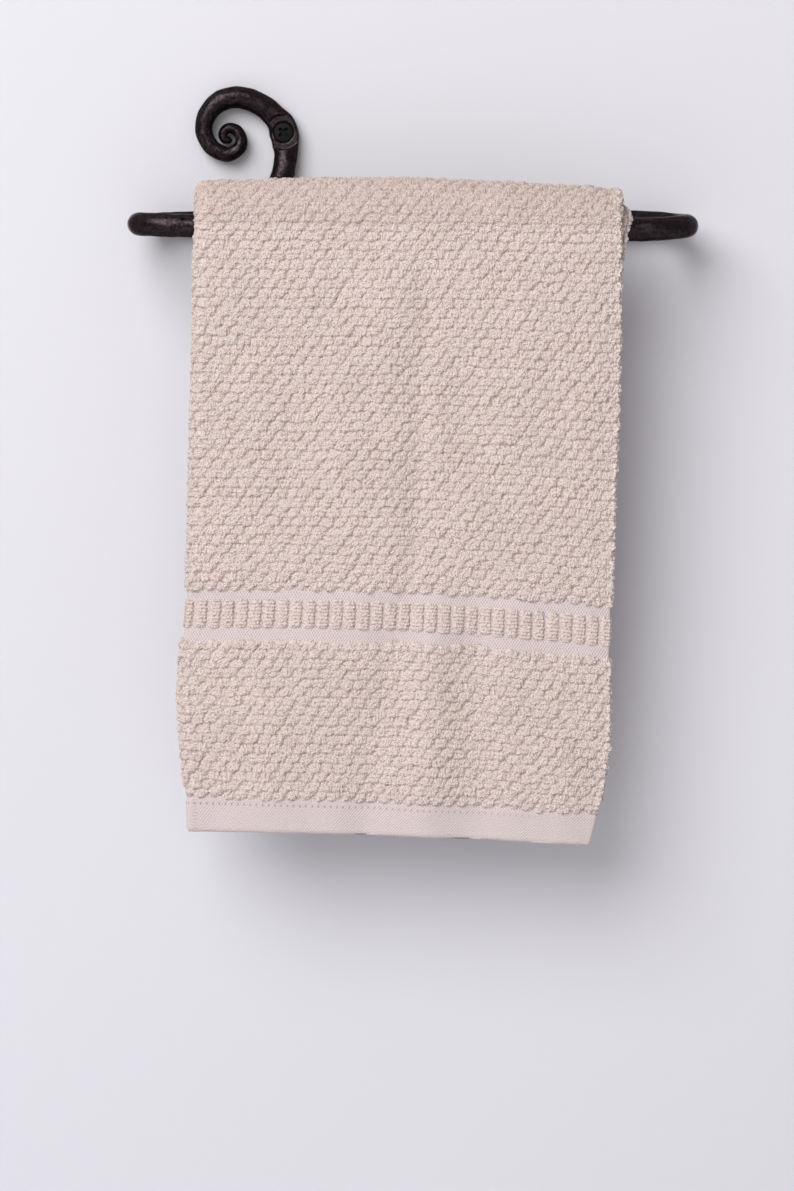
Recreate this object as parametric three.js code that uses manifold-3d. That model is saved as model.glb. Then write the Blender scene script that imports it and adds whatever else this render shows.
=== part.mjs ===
// A terry hand towel, folded in half lengthwise and hung over a forged scroll towel bar.
// Millimetres, +Z up. The wall is the plane y = 0 and everything stands in front of it, at y below 0.
// The origin lies on the flat back of the bar's screw pad, just below the screw.

import * as THREE from 'three';
import Module from 'manifold-3d';
import { mergeVertices } from 'three/addons/utils/BufferGeometryUtils.js';

const wasm = await Module();
wasm.setup();

// Driving sizes of the bar
const rodDiameter = 11.1;
const frontBarY = -52;
const backBarY = -6;
const leftBendX = -45.5;
const rightBendX = 172;
const frontBarZ = { left: -40.1, right: -42 };
const backBarZ = { left: -36.9, right: -36.5 };
const backBarEndX = 8;
const rodSides = 12;

// The bar's two half turns: 1 would be a true half circle, less is squarer at the corners,
// where the sections are set closer together
const bendPower = 0.66;
const cornerCrowding = 0.16;
const bendSteps = 16;

// Driving sizes of the screw and of its seat in the pad
const screwZ = 7;
const padFrontY = -7.1;
const headRadius = 4.75;
const headTopY = -6.7;
const headConeDepth = 2.7;
const shankRadius = 2.4;
const shankEndY = -0.3;
const seatGap = 0.4;
const recess = { length: 5.4, width: 1.5, depth: 2.2 };

// Driving sizes of the towel cloth
const pileThickness = 5;
const groundThickness = 1.6;
const hemThickness = 2.4;
const layerSpacing = 6.5;
const rodClearance = 0.5;
const ribPitch = 6.45;
const ribWidth = 5.1;
const ribShoulder = 0.5;
const tipRounding = 0.8;
const midX = 57;
const halfSpan = 98;

// The scroll, the screw pad and the stem: one row for each section, from the scroll's inner end
// x, y, z: centre of the section; wide: across the path, along the wall; thick: out of the wall
// square: 2 is an ellipse, more is a flatter, squarer section
const scrollSections = [
  { x: -26.4, y: -5.2, z: 4.4, wide: 2.4, thick: 2.4, square: 2 },
  { x: -27.2, y: -5.3, z: 3.6, wide: 2.9, thick: 3.4, square: 2 },
  { x: -28.8, y: -5.4, z: 4.1, wide: 3.0, thick: 3.8, square: 2 },
  { x: -29.4, y: -5.4, z: 6.5, wide: 3.3, thick: 4.4, square: 2 },
  { x: -26.9, y: -5.5, z: 9.0, wide: 4.2, thick: 5.4, square: 2 },
  { x: -23.3, y: -5.5, z: 8.3, wide: 4.8, thick: 6.0, square: 2 },
  { x: -20.9, y: -5.5, z: 4.7, wide: 5.4, thick: 6.6, square: 2 },
  { x: -21.1, y: -5.5, z: 0.6, wide: 5.8, thick: 7.0, square: 2 },
  { x: -23.9, y: -5.6, z: -2.5, wide: 6.4, thick: 7.6, square: 2 },
  { x: -28.4, y: -5.6, z: -3.6, wide: 7.1, thick: 8.0, square: 2 },
  { x: -34.8, y: -5.6, z: -0.3, wide: 8.0, thick: 8.6, square: 2 },
  { x: -38.4, y: -5.6, z: 5.6, wide: 8.3, thick: 9.2, square: 2 },
  { x: -38.7, y: -5.6, z: 11.0, wide: 8.6, thick: 9.8, square: 2 },
  { x: -36.9, y: -5.6, z: 16.2, wide: 9.2, thick: 10.4, square: 2 },
  { x: -33.6, y: -5.6, z: 20.2, wide: 9.8, thick: 10.8, square: 2 },
  { x: -28.9, y: -5.6, z: 23.0, wide: 10.4, thick: 11.0, square: 2 },
  { x: -22.9, y: -5.6, z: 24.0, wide: 10.7, thick: 11.0, square: 2 },
  { x: -15.9, y: -5.5, z: 22.7, wide: 10.8, thick: 10.8, square: 2 },
  { x: -9.6, y: -5.0, z: 19.6, wide: 10.9, thick: 10.0, square: 2.1 },
  { x: -4.6, y: -4.2, z: 15.3, wide: 11.6, thick: 8.6, square: 2.4 },
  { x: -1.2, y: -3.6, z: 11.0, wide: 13.4, thick: 7.5, square: 3 },
  { x: 0.4, y: -3.4, z: 6.2, wide: 14.3, thick: 7.4, square: 3.2 },
  { x: 1.0, y: -3.6, z: 1.2, wide: 13.0, thick: 7.6, square: 3 },
  { x: 1.1, y: -4.4, z: -4.2, wide: 11.4, thick: 9.0, square: 2.4 },
  { x: 0.5, y: -5.4, z: -9.6, wide: 11.1, thick: 10.8, square: 2 },
  { x: -1.2, y: -6.0, z: -16.0, wide: 11.1, thick: 11.1, square: 2 },
  { x: -5.0, y: -6.0, z: -23.4, wide: 11.1, thick: 11.1, square: 2 },
  { x: -11.2, y: -6.0, z: -30.2, wide: 11.1, thick: 11.1, square: 2 },
  { x: -19.4, y: -6.0, z: -35.0, wide: 11.1, thick: 11.1, square: 2 },
  { x: -28.6, y: -6.0, z: -37.6, wide: 11.1, thick: 11.1, square: 2 },
];

// The front panel's outline, one row for each height: the fold on the left,
// the outer layer's free edge and the inner layer's, which lies a little further out
const frontEdges = [
  { z: -41, left: -39.6, outerRight: 160.6, innerRight: 165.0 },
  { z: -57, left: -41.0, outerRight: 160.2, innerRight: 163.0 },
  { z: -94, left: -41.4, outerRight: 159.3, innerRight: 161.8 },
  { z: -132, left: -42.9, outerRight: 158.4, innerRight: 160.9 },
  { z: -170, left: -44.1, outerRight: 156.8, innerRight: 159.2 },
  { z: -208, left: -45.4, outerRight: 156.0, innerRight: 158.4 },
  { z: -227, left: -46.8, outerRight: 155.6, innerRight: 158.0 },
  { z: -246, left: -48.9, outerRight: 155.2, innerRight: 157.6 },
  { z: -265, left: -49.9, outerRight: 155.2, innerRight: 157.6 },
  { z: -284, left: -49.2, outerRight: 155.0, innerRight: 157.4 },
  { z: -304, left: -47.6, outerRight: 152.4, innerRight: 154.8 },
  { z: -316, left: -45.6, outerRight: 150.6, innerRight: 152.6 },
  { z: -332, left: -45.2, outerRight: 147.8, innerRight: 149.0 },
];

// The back panel's outline, which stays behind the front one
const backEdges = [
  { z: -41, left: -39.6, outerRight: 159.6, innerRight: 161.0 },
  { z: -150, left: -41.6, outerRight: 157.0, innerRight: 155.4 },
  { z: -240, left: -43.0, outerRight: 154.4, innerRight: 152.6 },
  { z: -312, left: -42.4, outerRight: 149.6, innerRight: 148.0 },
];

// How far the outer layer stands off the inner one over the bar; across: 0 left, 1 right
const crownLift = [
  { across: 0, lift: 2.0 },
  { across: 0.03, lift: 3.2 },
  { across: 0.12, lift: 4.0 },
  { across: 0.25, lift: 5.2 },
  { across: 0.5, lift: 5.8 },
  { across: 0.72, lift: 4.2 },
  { across: 0.9, lift: 2.4 },
  { across: 1, lift: 2.2 },
];

// The rows of the weave sink to the right: fall of a row at its ends, and its curve
const rowFall = [
  { z: -41, slope: -0.84, curve: 0 },
  { z: -130, slope: -2.4, curve: -1.2 },
  { z: -225, slope: -4.3, curve: -2.9 },
  { z: -316, slope: -3.6, curve: -0.2 },
  { z: -332, slope: -3.5, curve: 0 },
];

// Soft troughs (height below 0) and ridges of the front panel, each a line from its top to its foot
const frontFolds = [
  { topX: 52, topZ: -66, footX: 43, footZ: -206, halfWidth: 25, height: 2.0 },
  { topX: 69, topZ: -84, footX: 62, footZ: -206, halfWidth: 6.5, height: -1.7 },
  { topX: -10, topZ: -66, footX: 8, footZ: -106, halfWidth: 9, height: -0.8 },
  { topX: 118, topZ: -70, footX: 112, footZ: -200, halfWidth: 22, height: 1.0 },
  { topX: 4, topZ: -246, footX: -4, footZ: -322, halfWidth: 30, height: 1.5 },
  { topX: 53, topZ: -250, footX: 40, footZ: -322, halfWidth: 9, height: -1.8 },
  { topX: 73, topZ: -244, footX: 68, footZ: -326, halfWidth: 10, height: 2.0 },
  { topX: 92, topZ: -238, footX: 94, footZ: -326, halfWidth: 9, height: -1.8 },
];

// The same for the back panel
const backFolds = [
  { topX: 20, topZ: -70, footX: 30, footZ: -230, halfWidth: 26, height: 1.4 },
  { topX: 96, topZ: -90, footX: 88, footZ: -300, halfWidth: 16, height: -1.2 },
  { topX: 128, topZ: -150, footX: 132, footZ: -306, halfWidth: 14, height: 1.0 },
];

// Below the bar the two panels lean in towards each other: how far, and between which heights
const leanIn = { reach: 3.6, from: -52, to: -170 };

// Rows of a panel from its hem to the bar: z of the row, its thickness, and whether it carries ribs
const frontRows = [
  { z: -331.2, thick: hemThickness },
  { z: -316.6, thick: hemThickness },
  { z: -315.4, thick: pileThickness },
  { z: -298, thick: pileThickness },
  { z: -276, thick: pileThickness },
  { z: -256, thick: pileThickness },
  { z: -237.8, thick: pileThickness },
  { z: -236.8, thick: groundThickness },
  { z: -233.2, thick: groundThickness },
  { z: -232.6, thick: groundThickness, ribs: true },
  { z: -218.4, thick: groundThickness, ribs: true },
  { z: -217.8, thick: groundThickness },
  { z: -214.8, thick: groundThickness },
  { z: -213.8, thick: pileThickness },
  { z: -196, thick: pileThickness },
  { z: -172, thick: pileThickness },
  { z: -148, thick: pileThickness },
  { z: -122, thick: pileThickness },
  { z: -98, thick: pileThickness },
  { z: -76, thick: pileThickness },
  { z: -58, thick: pileThickness },
];
const backRise = 19.2;
const archSteps = 10;
const layerSteps = 17;
const turnSteps = 5;

// Value of a named column of a table at a place between its rows, eased from row to row
function fromTable(table, key, place, column) {
  const rising = table[table.length - 1][key] > table[0][key];
  const rows = rising ? table : [...table].reverse();
  if (place <= rows[0][key]) return rows[0][column];
  for (let i = 1; i < rows.length; i += 1) {
    if (place <= rows[i][key]) {
      const share = (place - rows[i - 1][key]) / (rows[i][key] - rows[i - 1][key]);
      return THREE.MathUtils.lerp(rows[i - 1][column], rows[i][column], share);
    }
  }
  return rows[rows.length - 1][column];
}

// Height of all folds of a table at a point: each is a bell across its line that fades at its ends
function foldHeight(folds, x, z) {
  let height = 0;
  for (const fold of folds) {
    const along = (fold.topZ - z) / (fold.topZ - fold.footZ);
    const inside = THREE.MathUtils.clamp(along, 0, 1);
    const lineX = THREE.MathUtils.lerp(fold.topX, fold.footX, inside);
    const across = (x - lineX) / fold.halfWidth;
    const past = (along - inside) * 3.5;
    height += fold.height * Math.exp(-across * across - past * past);
  }
  return height;
}

// A closed geometry from points and triangles, turned outwards where its volume comes out negative
function closedGeometry(points, triangles) {
  let volume = 0;
  for (const [a, b, c] of triangles) {
    volume += points[a].dot(new THREE.Vector3().crossVectors(points[b], points[c]));
  }
  const index = triangles.flatMap(([a, b, c]) => (volume > 0 ? [a, b, c] : [a, c, b]));
  const geometry = new THREE.BufferGeometry();
  geometry.setAttribute('position', new THREE.Float32BufferAttribute(points.flatMap((p) => p.toArray()), 3));
  geometry.setIndex(index);
  return geometry;
}

// Triangles between two closed rings, joined in step by the place that each point has round its ring
function bridgeRings(first, second, triangles) {
  const sizeA = first.length;
  const sizeB = second.length;
  let a = 0;
  let b = 0;
  while (a < sizeA || b < sizeB) {
    const nextA = a < sizeA - 1 ? first[a + 1].place : Infinity;
    const nextB = b < sizeB - 1 ? second[b + 1].place : Infinity;
    if (a < sizeA && (b >= sizeB || nextA <= nextB)) {
      triangles.push([first[a % sizeA].id, first[(a + 1) % sizeA].id, second[b % sizeB].id]);
      a += 1;
    } else {
      triangles.push([second[b % sizeB].id, first[a % sizeA].id, second[(b + 1) % sizeB].id]);
      b += 1;
    }
  }
}

// A manifold-3d solid from a geometry, and a geometry from such a solid
function solidFrom(geometry) {
  const bare = geometry.clone();
  bare.deleteAttribute('normal');
  bare.deleteAttribute('uv');
  const merged = mergeVertices(bare, 1e-4);
  return new wasm.Manifold(new wasm.Mesh({
    numProp: 3,
    vertProperties: new Float32Array(merged.attributes.position.array),
    triVerts: new Uint32Array(merged.index.array),
  }));
}

function geometryFrom(solid) {
  const mesh = solid.getMesh();
  const geometry = new THREE.BufferGeometry();
  geometry.setAttribute('position', new THREE.Float32BufferAttribute(mesh.vertProperties, 3));
  geometry.setIndex(Array.from(mesh.triVerts));
  return geometry;
}

// The bar's sections from the scroll to the hidden end: table, then bends and straights by formula
function barSections() {
  const sections = [];
  const centres = scrollSections.map((row) => new THREE.Vector3(row.x, row.y, row.z));
  const spine = new THREE.CatmullRomCurve3(centres, false, 'centripetal');
  const subSteps = 2;
  const spans = scrollSections.length - 1;
  for (let i = 0; i <= spans * subSteps; i += 1) {
    const row = Math.min(Math.floor(i / subSteps), spans - 1);
    const share = i / subSteps - row;
    const at = spine.getPoint(i / (spans * subSteps));
    const mix = (column) => THREE.MathUtils.lerp(
      scrollSections[row][column], scrollSections[row + 1][column], share);
    sections.push({ at, wide: mix('wide'), thick: mix('thick'), square: mix('square') });
  }
  const round = (x, y, z) => {
    const at = new THREE.Vector3(x, y, z);
    sections.push({ at, wide: rodDiameter, thick: rodDiameter, square: 2 });
  };
  const bendMiddleY = (frontBarY + backBarY) / 2;
  const bendRadius = (backBarY - frontBarY) / 2;
  const squared = (value) => Math.sign(value) * Math.abs(value) ** bendPower;
  const bend = (middleX, outwards, startY, fromZ, toZ) => {
    for (let i = 0; i <= bendSteps; i += 1) {
      const even = (Math.PI * i) / bendSteps;
      const turn = even - cornerCrowding * Math.sin(4 * even);
      const x = middleX + outwards * bendRadius * squared(Math.sin(turn));
      const y = bendMiddleY + (startY - bendMiddleY) * squared(Math.cos(turn));
      round(x, y, THREE.MathUtils.lerp(fromZ, toZ, i / bendSteps));
    }
  };
  bend(leftBendX, -1, backBarY, backBarZ.left, frontBarZ.left);
  const barSteps = 6;
  for (let i = 1; i < barSteps; i += 1) {
    const share = i / barSteps;
    const x = THREE.MathUtils.lerp(leftBendX, rightBendX, share);
    round(x, frontBarY, THREE.MathUtils.lerp(frontBarZ.left, frontBarZ.right, share));
  }
  bend(rightBendX, 1, frontBarY, frontBarZ.right, backBarZ.right);
  for (let i = 1; i <= barSteps; i += 1) {
    const share = i / barSteps;
    const x = THREE.MathUtils.lerp(rightBendX, backBarEndX, share);
    round(x, backBarY, THREE.MathUtils.lerp(backBarZ.right, backBarZ.left, share));
  }
  const last = sections[sections.length - 1];
  const endCap = { at: last.at.clone().add(new THREE.Vector3(-2.6, 0, 0)), wide: 6.4, thick: 6.4, square: 2 };
  sections.push(endCap);
  return sections;
}

// The bar: superellipse sections carried along the path, its ends closed by fans
function barGeometry() {
  const sections = barSections();
  const points = [];
  const triangles = [];
  let previousNormal = new THREE.Vector3(0, -1, 0);
  const rings = sections.map((section, i) => {
    const before = sections[Math.max(i - 1, 0)].at;
    const after = sections[Math.min(i + 1, sections.length - 1)].at;
    const tangent = after.clone().sub(before).normalize();
    const normal = previousNormal.clone().addScaledVector(tangent, -previousNormal.dot(tangent)).normalize();
    previousNormal = normal;
    const side = new THREE.Vector3().crossVectors(tangent, normal);
    const ring = [];
    for (let k = 0; k < rodSides; k += 1) {
      const turn = (2 * Math.PI * (k + 0.5)) / rodSides;
      const power = 2 / section.square;
      const out = Math.sign(Math.sin(turn)) * Math.abs(Math.sin(turn)) ** power * section.thick / 2;
      const along = Math.sign(Math.cos(turn)) * Math.abs(Math.cos(turn)) ** power * section.wide / 2;
      points.push(section.at.clone().addScaledVector(normal, out).addScaledVector(side, along));
      ring.push({ id: points.length - 1, place: k });
    }
    return ring;
  });
  for (let i = 1; i < rings.length; i += 1) {
    bridgeRings(rings[i - 1], rings[i], triangles);
  }
  const closeEnd = (ring, at, flipped) => {
    points.push(at.clone());
    const tip = points.length - 1;
    for (let k = 0; k < rodSides; k += 1) {
      const a = ring[k].id;
      const b = ring[(k + 1) % rodSides].id;
      triangles.push(flipped ? [tip, a, b] : [tip, b, a]);
    }
  };
  closeEnd(rings[0], sections[0].at, false);
  closeEnd(rings[rings.length - 1], sections[sections.length - 1].at, true);
  return closedGeometry(points, triangles);
}

// A turned profile about the screw's axis; each point is a radius and a y
function turnedAboutScrew(profile, sides) {
  const outline = profile.map(([radius, y]) => new THREE.Vector2(radius, y));
  const geometry = new THREE.LatheGeometry(outline, sides);
  geometry.translate(0, 0, screwZ);
  return geometry;
}

// The seat cut into the pad: a cone for the head, a little wider than it, and a hole for the shank
function screwSeatCutter() {
  const coneFootY = headTopY + headConeDepth;
  const slope = (headRadius - shankRadius) / headConeDepth;
  const mouthY = padFrontY - 3;
  const mouthRadius = headRadius + seatGap + slope * (headTopY - mouthY);
  return turnedAboutScrew([
    [0, mouthY],
    [mouthRadius, mouthY],
    [shankRadius + seatGap, coneFootY],
    [shankRadius + seatGap, 4],
    [0, 4],
  ], 28);
}

// The bar with its back shaved flat to the wall and the seat cut in
function makeBar() {
  const behindWall = new THREE.BoxGeometry(600, 40, 600);
  behindWall.translate(0, 20, 0);
  const solid = solidFrom(barGeometry())
    .subtract(solidFrom(behindWall))
    .subtract(solidFrom(screwSeatCutter()));
  return geometryFrom(solid);
}

// The countersunk screw with its cross recess, turned as the photograph shows
function makeScrew() {
  const body = turnedAboutScrew([
    [0, headTopY],
    [headRadius, headTopY],
    [shankRadius, headTopY + headConeDepth],
    [shankRadius, shankEndY],
    [0, shankEndY],
  ], 24);
  let solid = solidFrom(body);
  for (const turn of [Math.PI / 4, -Math.PI / 4]) {
    const arm = new THREE.BoxGeometry(recess.length, 2 * recess.depth, recess.width);
    arm.rotateY(turn);
    arm.translate(0, headTopY, screwZ);
    solid = solid.subtract(solidFrom(arm));
  }
  return geometryFrom(solid);
}

// Height of the bar's axis under a point of the towel
function barAxisZ(x) {
  const share = (x - leftBendX) / (rightBendX - leftBendX);
  return THREE.MathUtils.lerp(frontBarZ.left, frontBarZ.right, share);
}

// The rows that the cloth passes from the front hem over the bar to the back hem
// panel: -1 front, 0 on the bar, 1 back; turn: angle round the bar's axis, 0 at the front
function clothRows() {
  const front = frontRows.map((row) => ({ ...row, panel: -1, turn: 0 }));
  const back = frontRows.map((row) => ({ ...row, z: row.z + backRise, panel: 1, turn: Math.PI }))
    .filter((row) => row.z < -50)
    .reverse();
  const over = [];
  for (let i = 0; i <= archSteps; i += 1) {
    over.push({ z: frontEdges[0].z, thick: pileThickness, panel: 0, turn: (Math.PI * i) / archSteps });
  }
  return [...front, ...over, ...back];
}

// A point of the cloth: x across, standOff from the bar's clearance line, on one row
function clothPoint(row, x, standOff, layer) {
  const crownEdges = frontEdges[0];
  const crownShare = (x - crownEdges.left) / (crownEdges.outerRight - crownEdges.left);
  const across = THREE.MathUtils.clamp(crownShare, 0, 1);
  const lift = fromTable(crownLift, 'across', across, 'lift') * layer;
  const axisZ = barAxisZ(x);
  const startRadius = rodDiameter / 2 + rodClearance;
  if (row.panel === 0) {
    const share = Math.sin(row.turn) ** 0.7;
    const radius = startRadius + standOff + lift * share;
    return new THREE.Vector3(x, frontBarY - radius * Math.cos(row.turn), axisZ + radius * Math.sin(row.turn));
  }
  const sunk = (x - midX) / halfSpan;
  const slope = fromTable(rowFall, 'z', row.z, 'slope');
  const curve = fromTable(rowFall, 'z', row.z, 'curve');
  const z = row.z + slope * sunk + curve * sunk * sunk;
  const below = THREE.MathUtils.clamp((frontEdges[0].z - row.z) / 30, 0, 1);
  const folds = row.panel < 0 ? frontFolds : backFolds;
  const relief = foldHeight(folds, x, row.z) * below;
  const leant = leanIn.reach * THREE.MathUtils.smoothstep(-row.z, -leanIn.from, -leanIn.to);
  const radius = startRadius + standOff + relief - leant;
  return new THREE.Vector3(x, frontBarY + row.panel * radius, z);
}

// Across places of the ribs' feet and shoulders on the outer face, between two edges
function ribProfile(left, right) {
  const count = Math.floor((right - left) / ribPitch);
  const start = (left + right - count * ribPitch) / 2 + (ribPitch - ribWidth) / 2;
  const profile = [];
  for (let i = 0; i < count; i += 1) {
    const from = start + i * ribPitch;
    profile.push({ x: from, raised: 0 });
    profile.push({ x: from + ribShoulder, raised: 1 });
    profile.push({ x: from + ribWidth - ribShoulder, raised: 1 });
    profile.push({ x: from + ribWidth, raised: 0 });
  }
  return profile;
}

// One ring round the doubled cloth at a row: bar side, round the fold, outer face, and back inside
function clothRing(row, points) {
  const table = row.panel > 0 ? backEdges : frontEdges;
  const foldLine = fromTable(table, 'z', row.z, 'left') + pileThickness / 2;
  const edgeInset = tipRounding * pileThickness / 2;
  const outerEdge = fromTable(table, 'z', row.z, 'outerRight') - edgeInset;
  const innerEdge = fromTable(table, 'z', row.z, 'innerRight') - edgeInset;
  const half = row.thick / 2;
  const turnRadius = layerSpacing / 2;
  const turnX = foldLine + turnRadius;
  const innerMid = pileThickness / 2;
  const outerMid = innerMid + layerSpacing;
  const turnMid = (innerMid + outerMid) / 2;
  const outside = [];
  const inside = [];
  const add = (list, x, standOff, layer, place) => {
    points.push(clothPoint(row, x, standOff, layer));
    list.push({ id: points.length - 1, place });
  };
  for (let i = 0; i <= layerSteps; i += 1) {
    const share = i / layerSteps;
    const x = THREE.MathUtils.lerp(innerEdge, turnX, share);
    add(outside, x, innerMid - half, 0, share);
    add(inside, x, innerMid + half, 0, -share);
  }
  for (let i = 1; i < turnSteps; i += 1) {
    const turn = (Math.PI * i) / turnSteps;
    const place = 1 + i / turnSteps;
    const layer = (1 - Math.cos(turn)) / 2;
    const bend = (radius) => [turnX - radius * Math.sin(turn), turnMid - radius * Math.cos(turn)];
    add(outside, ...bend(turnRadius + half), layer, place);
    add(inside, ...bend(turnRadius - half), layer, -place);
  }
  if (row.ribs) {
    const shoulder = pileThickness / 2 - half;
    add(outside, turnX, outerMid + half, 1, 2);
    for (const spot of ribProfile(turnX, outerEdge)) {
      const place = 2 + (spot.x - turnX) / (outerEdge - turnX);
      add(outside, spot.x, outerMid + half + spot.raised * shoulder, 1, place);
    }
    add(outside, outerEdge, outerMid + half, 1, 3);
  }
  for (let i = 0; i <= layerSteps; i += 1) {
    const share = i / layerSteps;
    const x = THREE.MathUtils.lerp(turnX, outerEdge, share);
    if (!row.ribs) {
      add(outside, x, outerMid + half, 1, 2 + share);
    }
    add(inside, x, outerMid - half, 1, -2 - share);
  }
  const tips = [];
  add(tips, outerEdge + tipRounding * half, outerMid, 1, 3.5);
  add(tips, innerEdge + tipRounding * half, innerMid, 0, 8);
  const insideBack = [...inside].reverse().map((spot) => ({ id: spot.id, place: 7 + spot.place }));
  const ring = [...outside, tips[0], ...insideBack, tips[1]];
  return { ring, outside, inside, tips };
}

// The towel: rings bridged from hem to hem, and each hem's end closed across its thickness
function makeTowel() {
  const points = [];
  const triangles = [];
  const rings = clothRows().map((row) => clothRing(row, points));
  for (let i = 1; i < rings.length; i += 1) {
    bridgeRings(rings[i - 1].ring, rings[i].ring, triangles);
  }
  const closeHem = ({ outside, inside, tips }, flipped) => {
    const face = (a, b, c) => triangles.push(flipped ? [a, c, b] : [a, b, c]);
    for (let i = 1; i < outside.length; i += 1) {
      face(outside[i - 1].id, inside[i - 1].id, inside[i].id);
      face(outside[i - 1].id, inside[i].id, outside[i].id);
    }
    const end = outside.length - 1;
    face(outside[end].id, inside[end].id, tips[0].id);
    face(outside[0].id, tips[1].id, inside[0].id);
  };
  closeHem(rings[0], false);
  closeHem(rings[rings.length - 1], true);
  return closedGeometry(points, triangles);
}

const clothFinish = new THREE.MeshStandardMaterial({ color: 0xd3c1bb, roughness: 0.95, metalness: 0 });
const ironFinish = new THREE.MeshStandardMaterial({ color: 0x2e2a2d, roughness: 0.5, metalness: 0.3 });
const screwFinish = new THREE.MeshStandardMaterial({ color: 0x232124, roughness: 0.4, metalness: 0.5 });

const pieces = [
  { name: 'towel', geometry: makeTowel(), finish: clothFinish },
  { name: 'towel_bar', geometry: makeBar(), finish: ironFinish },
  { name: 'screw', geometry: makeScrew(), finish: screwFinish },
];

const handTowelOnBar = new THREE.Group();
for (const piece of pieces) {
  const mesh = new THREE.Mesh(piece.geometry, piece.finish);
  mesh.name = piece.name;
  handTowelOnBar.add(mesh);
}

export default handTowelOnBar;
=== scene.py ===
import math

import bpy
import numpy as np
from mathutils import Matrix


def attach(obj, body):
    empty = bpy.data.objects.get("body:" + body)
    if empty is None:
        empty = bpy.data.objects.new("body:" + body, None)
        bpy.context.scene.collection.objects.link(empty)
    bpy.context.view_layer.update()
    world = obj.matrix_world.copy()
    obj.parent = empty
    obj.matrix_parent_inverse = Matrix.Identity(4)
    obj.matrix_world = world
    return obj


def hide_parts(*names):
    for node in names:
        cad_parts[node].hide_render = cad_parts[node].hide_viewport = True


# A hand towel folded in half and hung over a forged scroll bar.
# Shapes are worked out in millimetres, as in the part's source, and meshFrom turns them into metres.
# The stage, the lights and the camera are in metres.

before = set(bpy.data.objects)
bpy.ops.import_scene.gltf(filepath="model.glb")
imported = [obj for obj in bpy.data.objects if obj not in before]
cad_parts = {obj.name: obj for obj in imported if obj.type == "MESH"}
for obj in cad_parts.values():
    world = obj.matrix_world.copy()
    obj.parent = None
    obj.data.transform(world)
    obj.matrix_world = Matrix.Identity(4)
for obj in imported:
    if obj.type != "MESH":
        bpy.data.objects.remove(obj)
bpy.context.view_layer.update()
print("frame loaded:", sorted(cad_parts))

mm = 0.001
bodyName = "root"
seeds = {
    "dents": 5,
    "frontSlack": 11,
    "backSlack": 12,
    "cells": 20,
    "loops": 21,
    "ribs": 31,
    "ribLoops": 33,
}


# Small helpers

def smoothStep(low, high, value):
    # 3t^2 - 2t^3 of the place of value between low and high
    t = np.clip((value - low) / (high - low), 0.0, 1.0)
    return t * t * (3.0 - 2.0 * t)


def tableAt(table, column, z):
    # linear between the rows of a table whose z falls from row to row
    return np.interp(-z, -np.array(table["z"], float), np.array(table[column], float))


def rowsBetween(low, high, step):
    # even rows from low to high, about a step apart, as a column
    return np.linspace(low, high, int(round((high - low) / step)) + 1)[:, None]


def cellField(across, along, settings, seed):
    # staggered cells with shaken centres: superellipse distance to the nearest centre (1 at its edge),
    # how much further the second nearest is, the offsets inside the cell, its centre and random numbers
    pitch, rowPitch, power = settings["pitch"], settings["rowPitch"], settings["square"]
    tileRows, tileCols, tooFar = 101, 89, 9.0
    shakes = np.random.default_rng(seed).uniform(-1.0, 1.0, (tileRows, tileCols, 5))
    row0 = np.round(along / rowPitch).astype(int)
    nearest = np.full(across.shape, tooFar)
    second = np.full(across.shape, tooFar)
    best = np.zeros(across.shape + (9,))
    for rowStep in (-1, 0, 1):
        row = row0 + rowStep
        shift = (row % 2) * 0.5
        col0 = np.round(across / pitch - shift).astype(int)
        for colStep in (-1, 0, 1):
            col = col0 + colStep
            here = shakes[row % tileRows, col % tileCols]
            placeX = (col + shift + settings["shakeX"] * here[..., 0]) * pitch
            placeY = (row + settings["shakeY"] * here[..., 1]) * rowPitch
            dy = (along - placeY) / (0.5 * rowPitch)
            dx = (across - placeX) / (0.5 * pitch) - settings["lean"] * dy
            far = (np.abs(dx) ** power + np.abs(dy) ** power) ** (1.0 / power)
            closer = far < nearest
            second = np.where(closer, nearest, np.minimum(second, far))
            nearest = np.where(closer, far, nearest)
            found = np.concatenate([np.stack([dx, dy, placeX, placeY], axis=-1), here], axis=-1)
            best = np.where(closer[..., None], found, best)
    return {"near": nearest, "gap": second - nearest, "offX": best[..., 0], "offY": best[..., 1],
            "centreX": best[..., 2], "centreY": best[..., 3], "numbers": best[..., 4:]}


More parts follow.
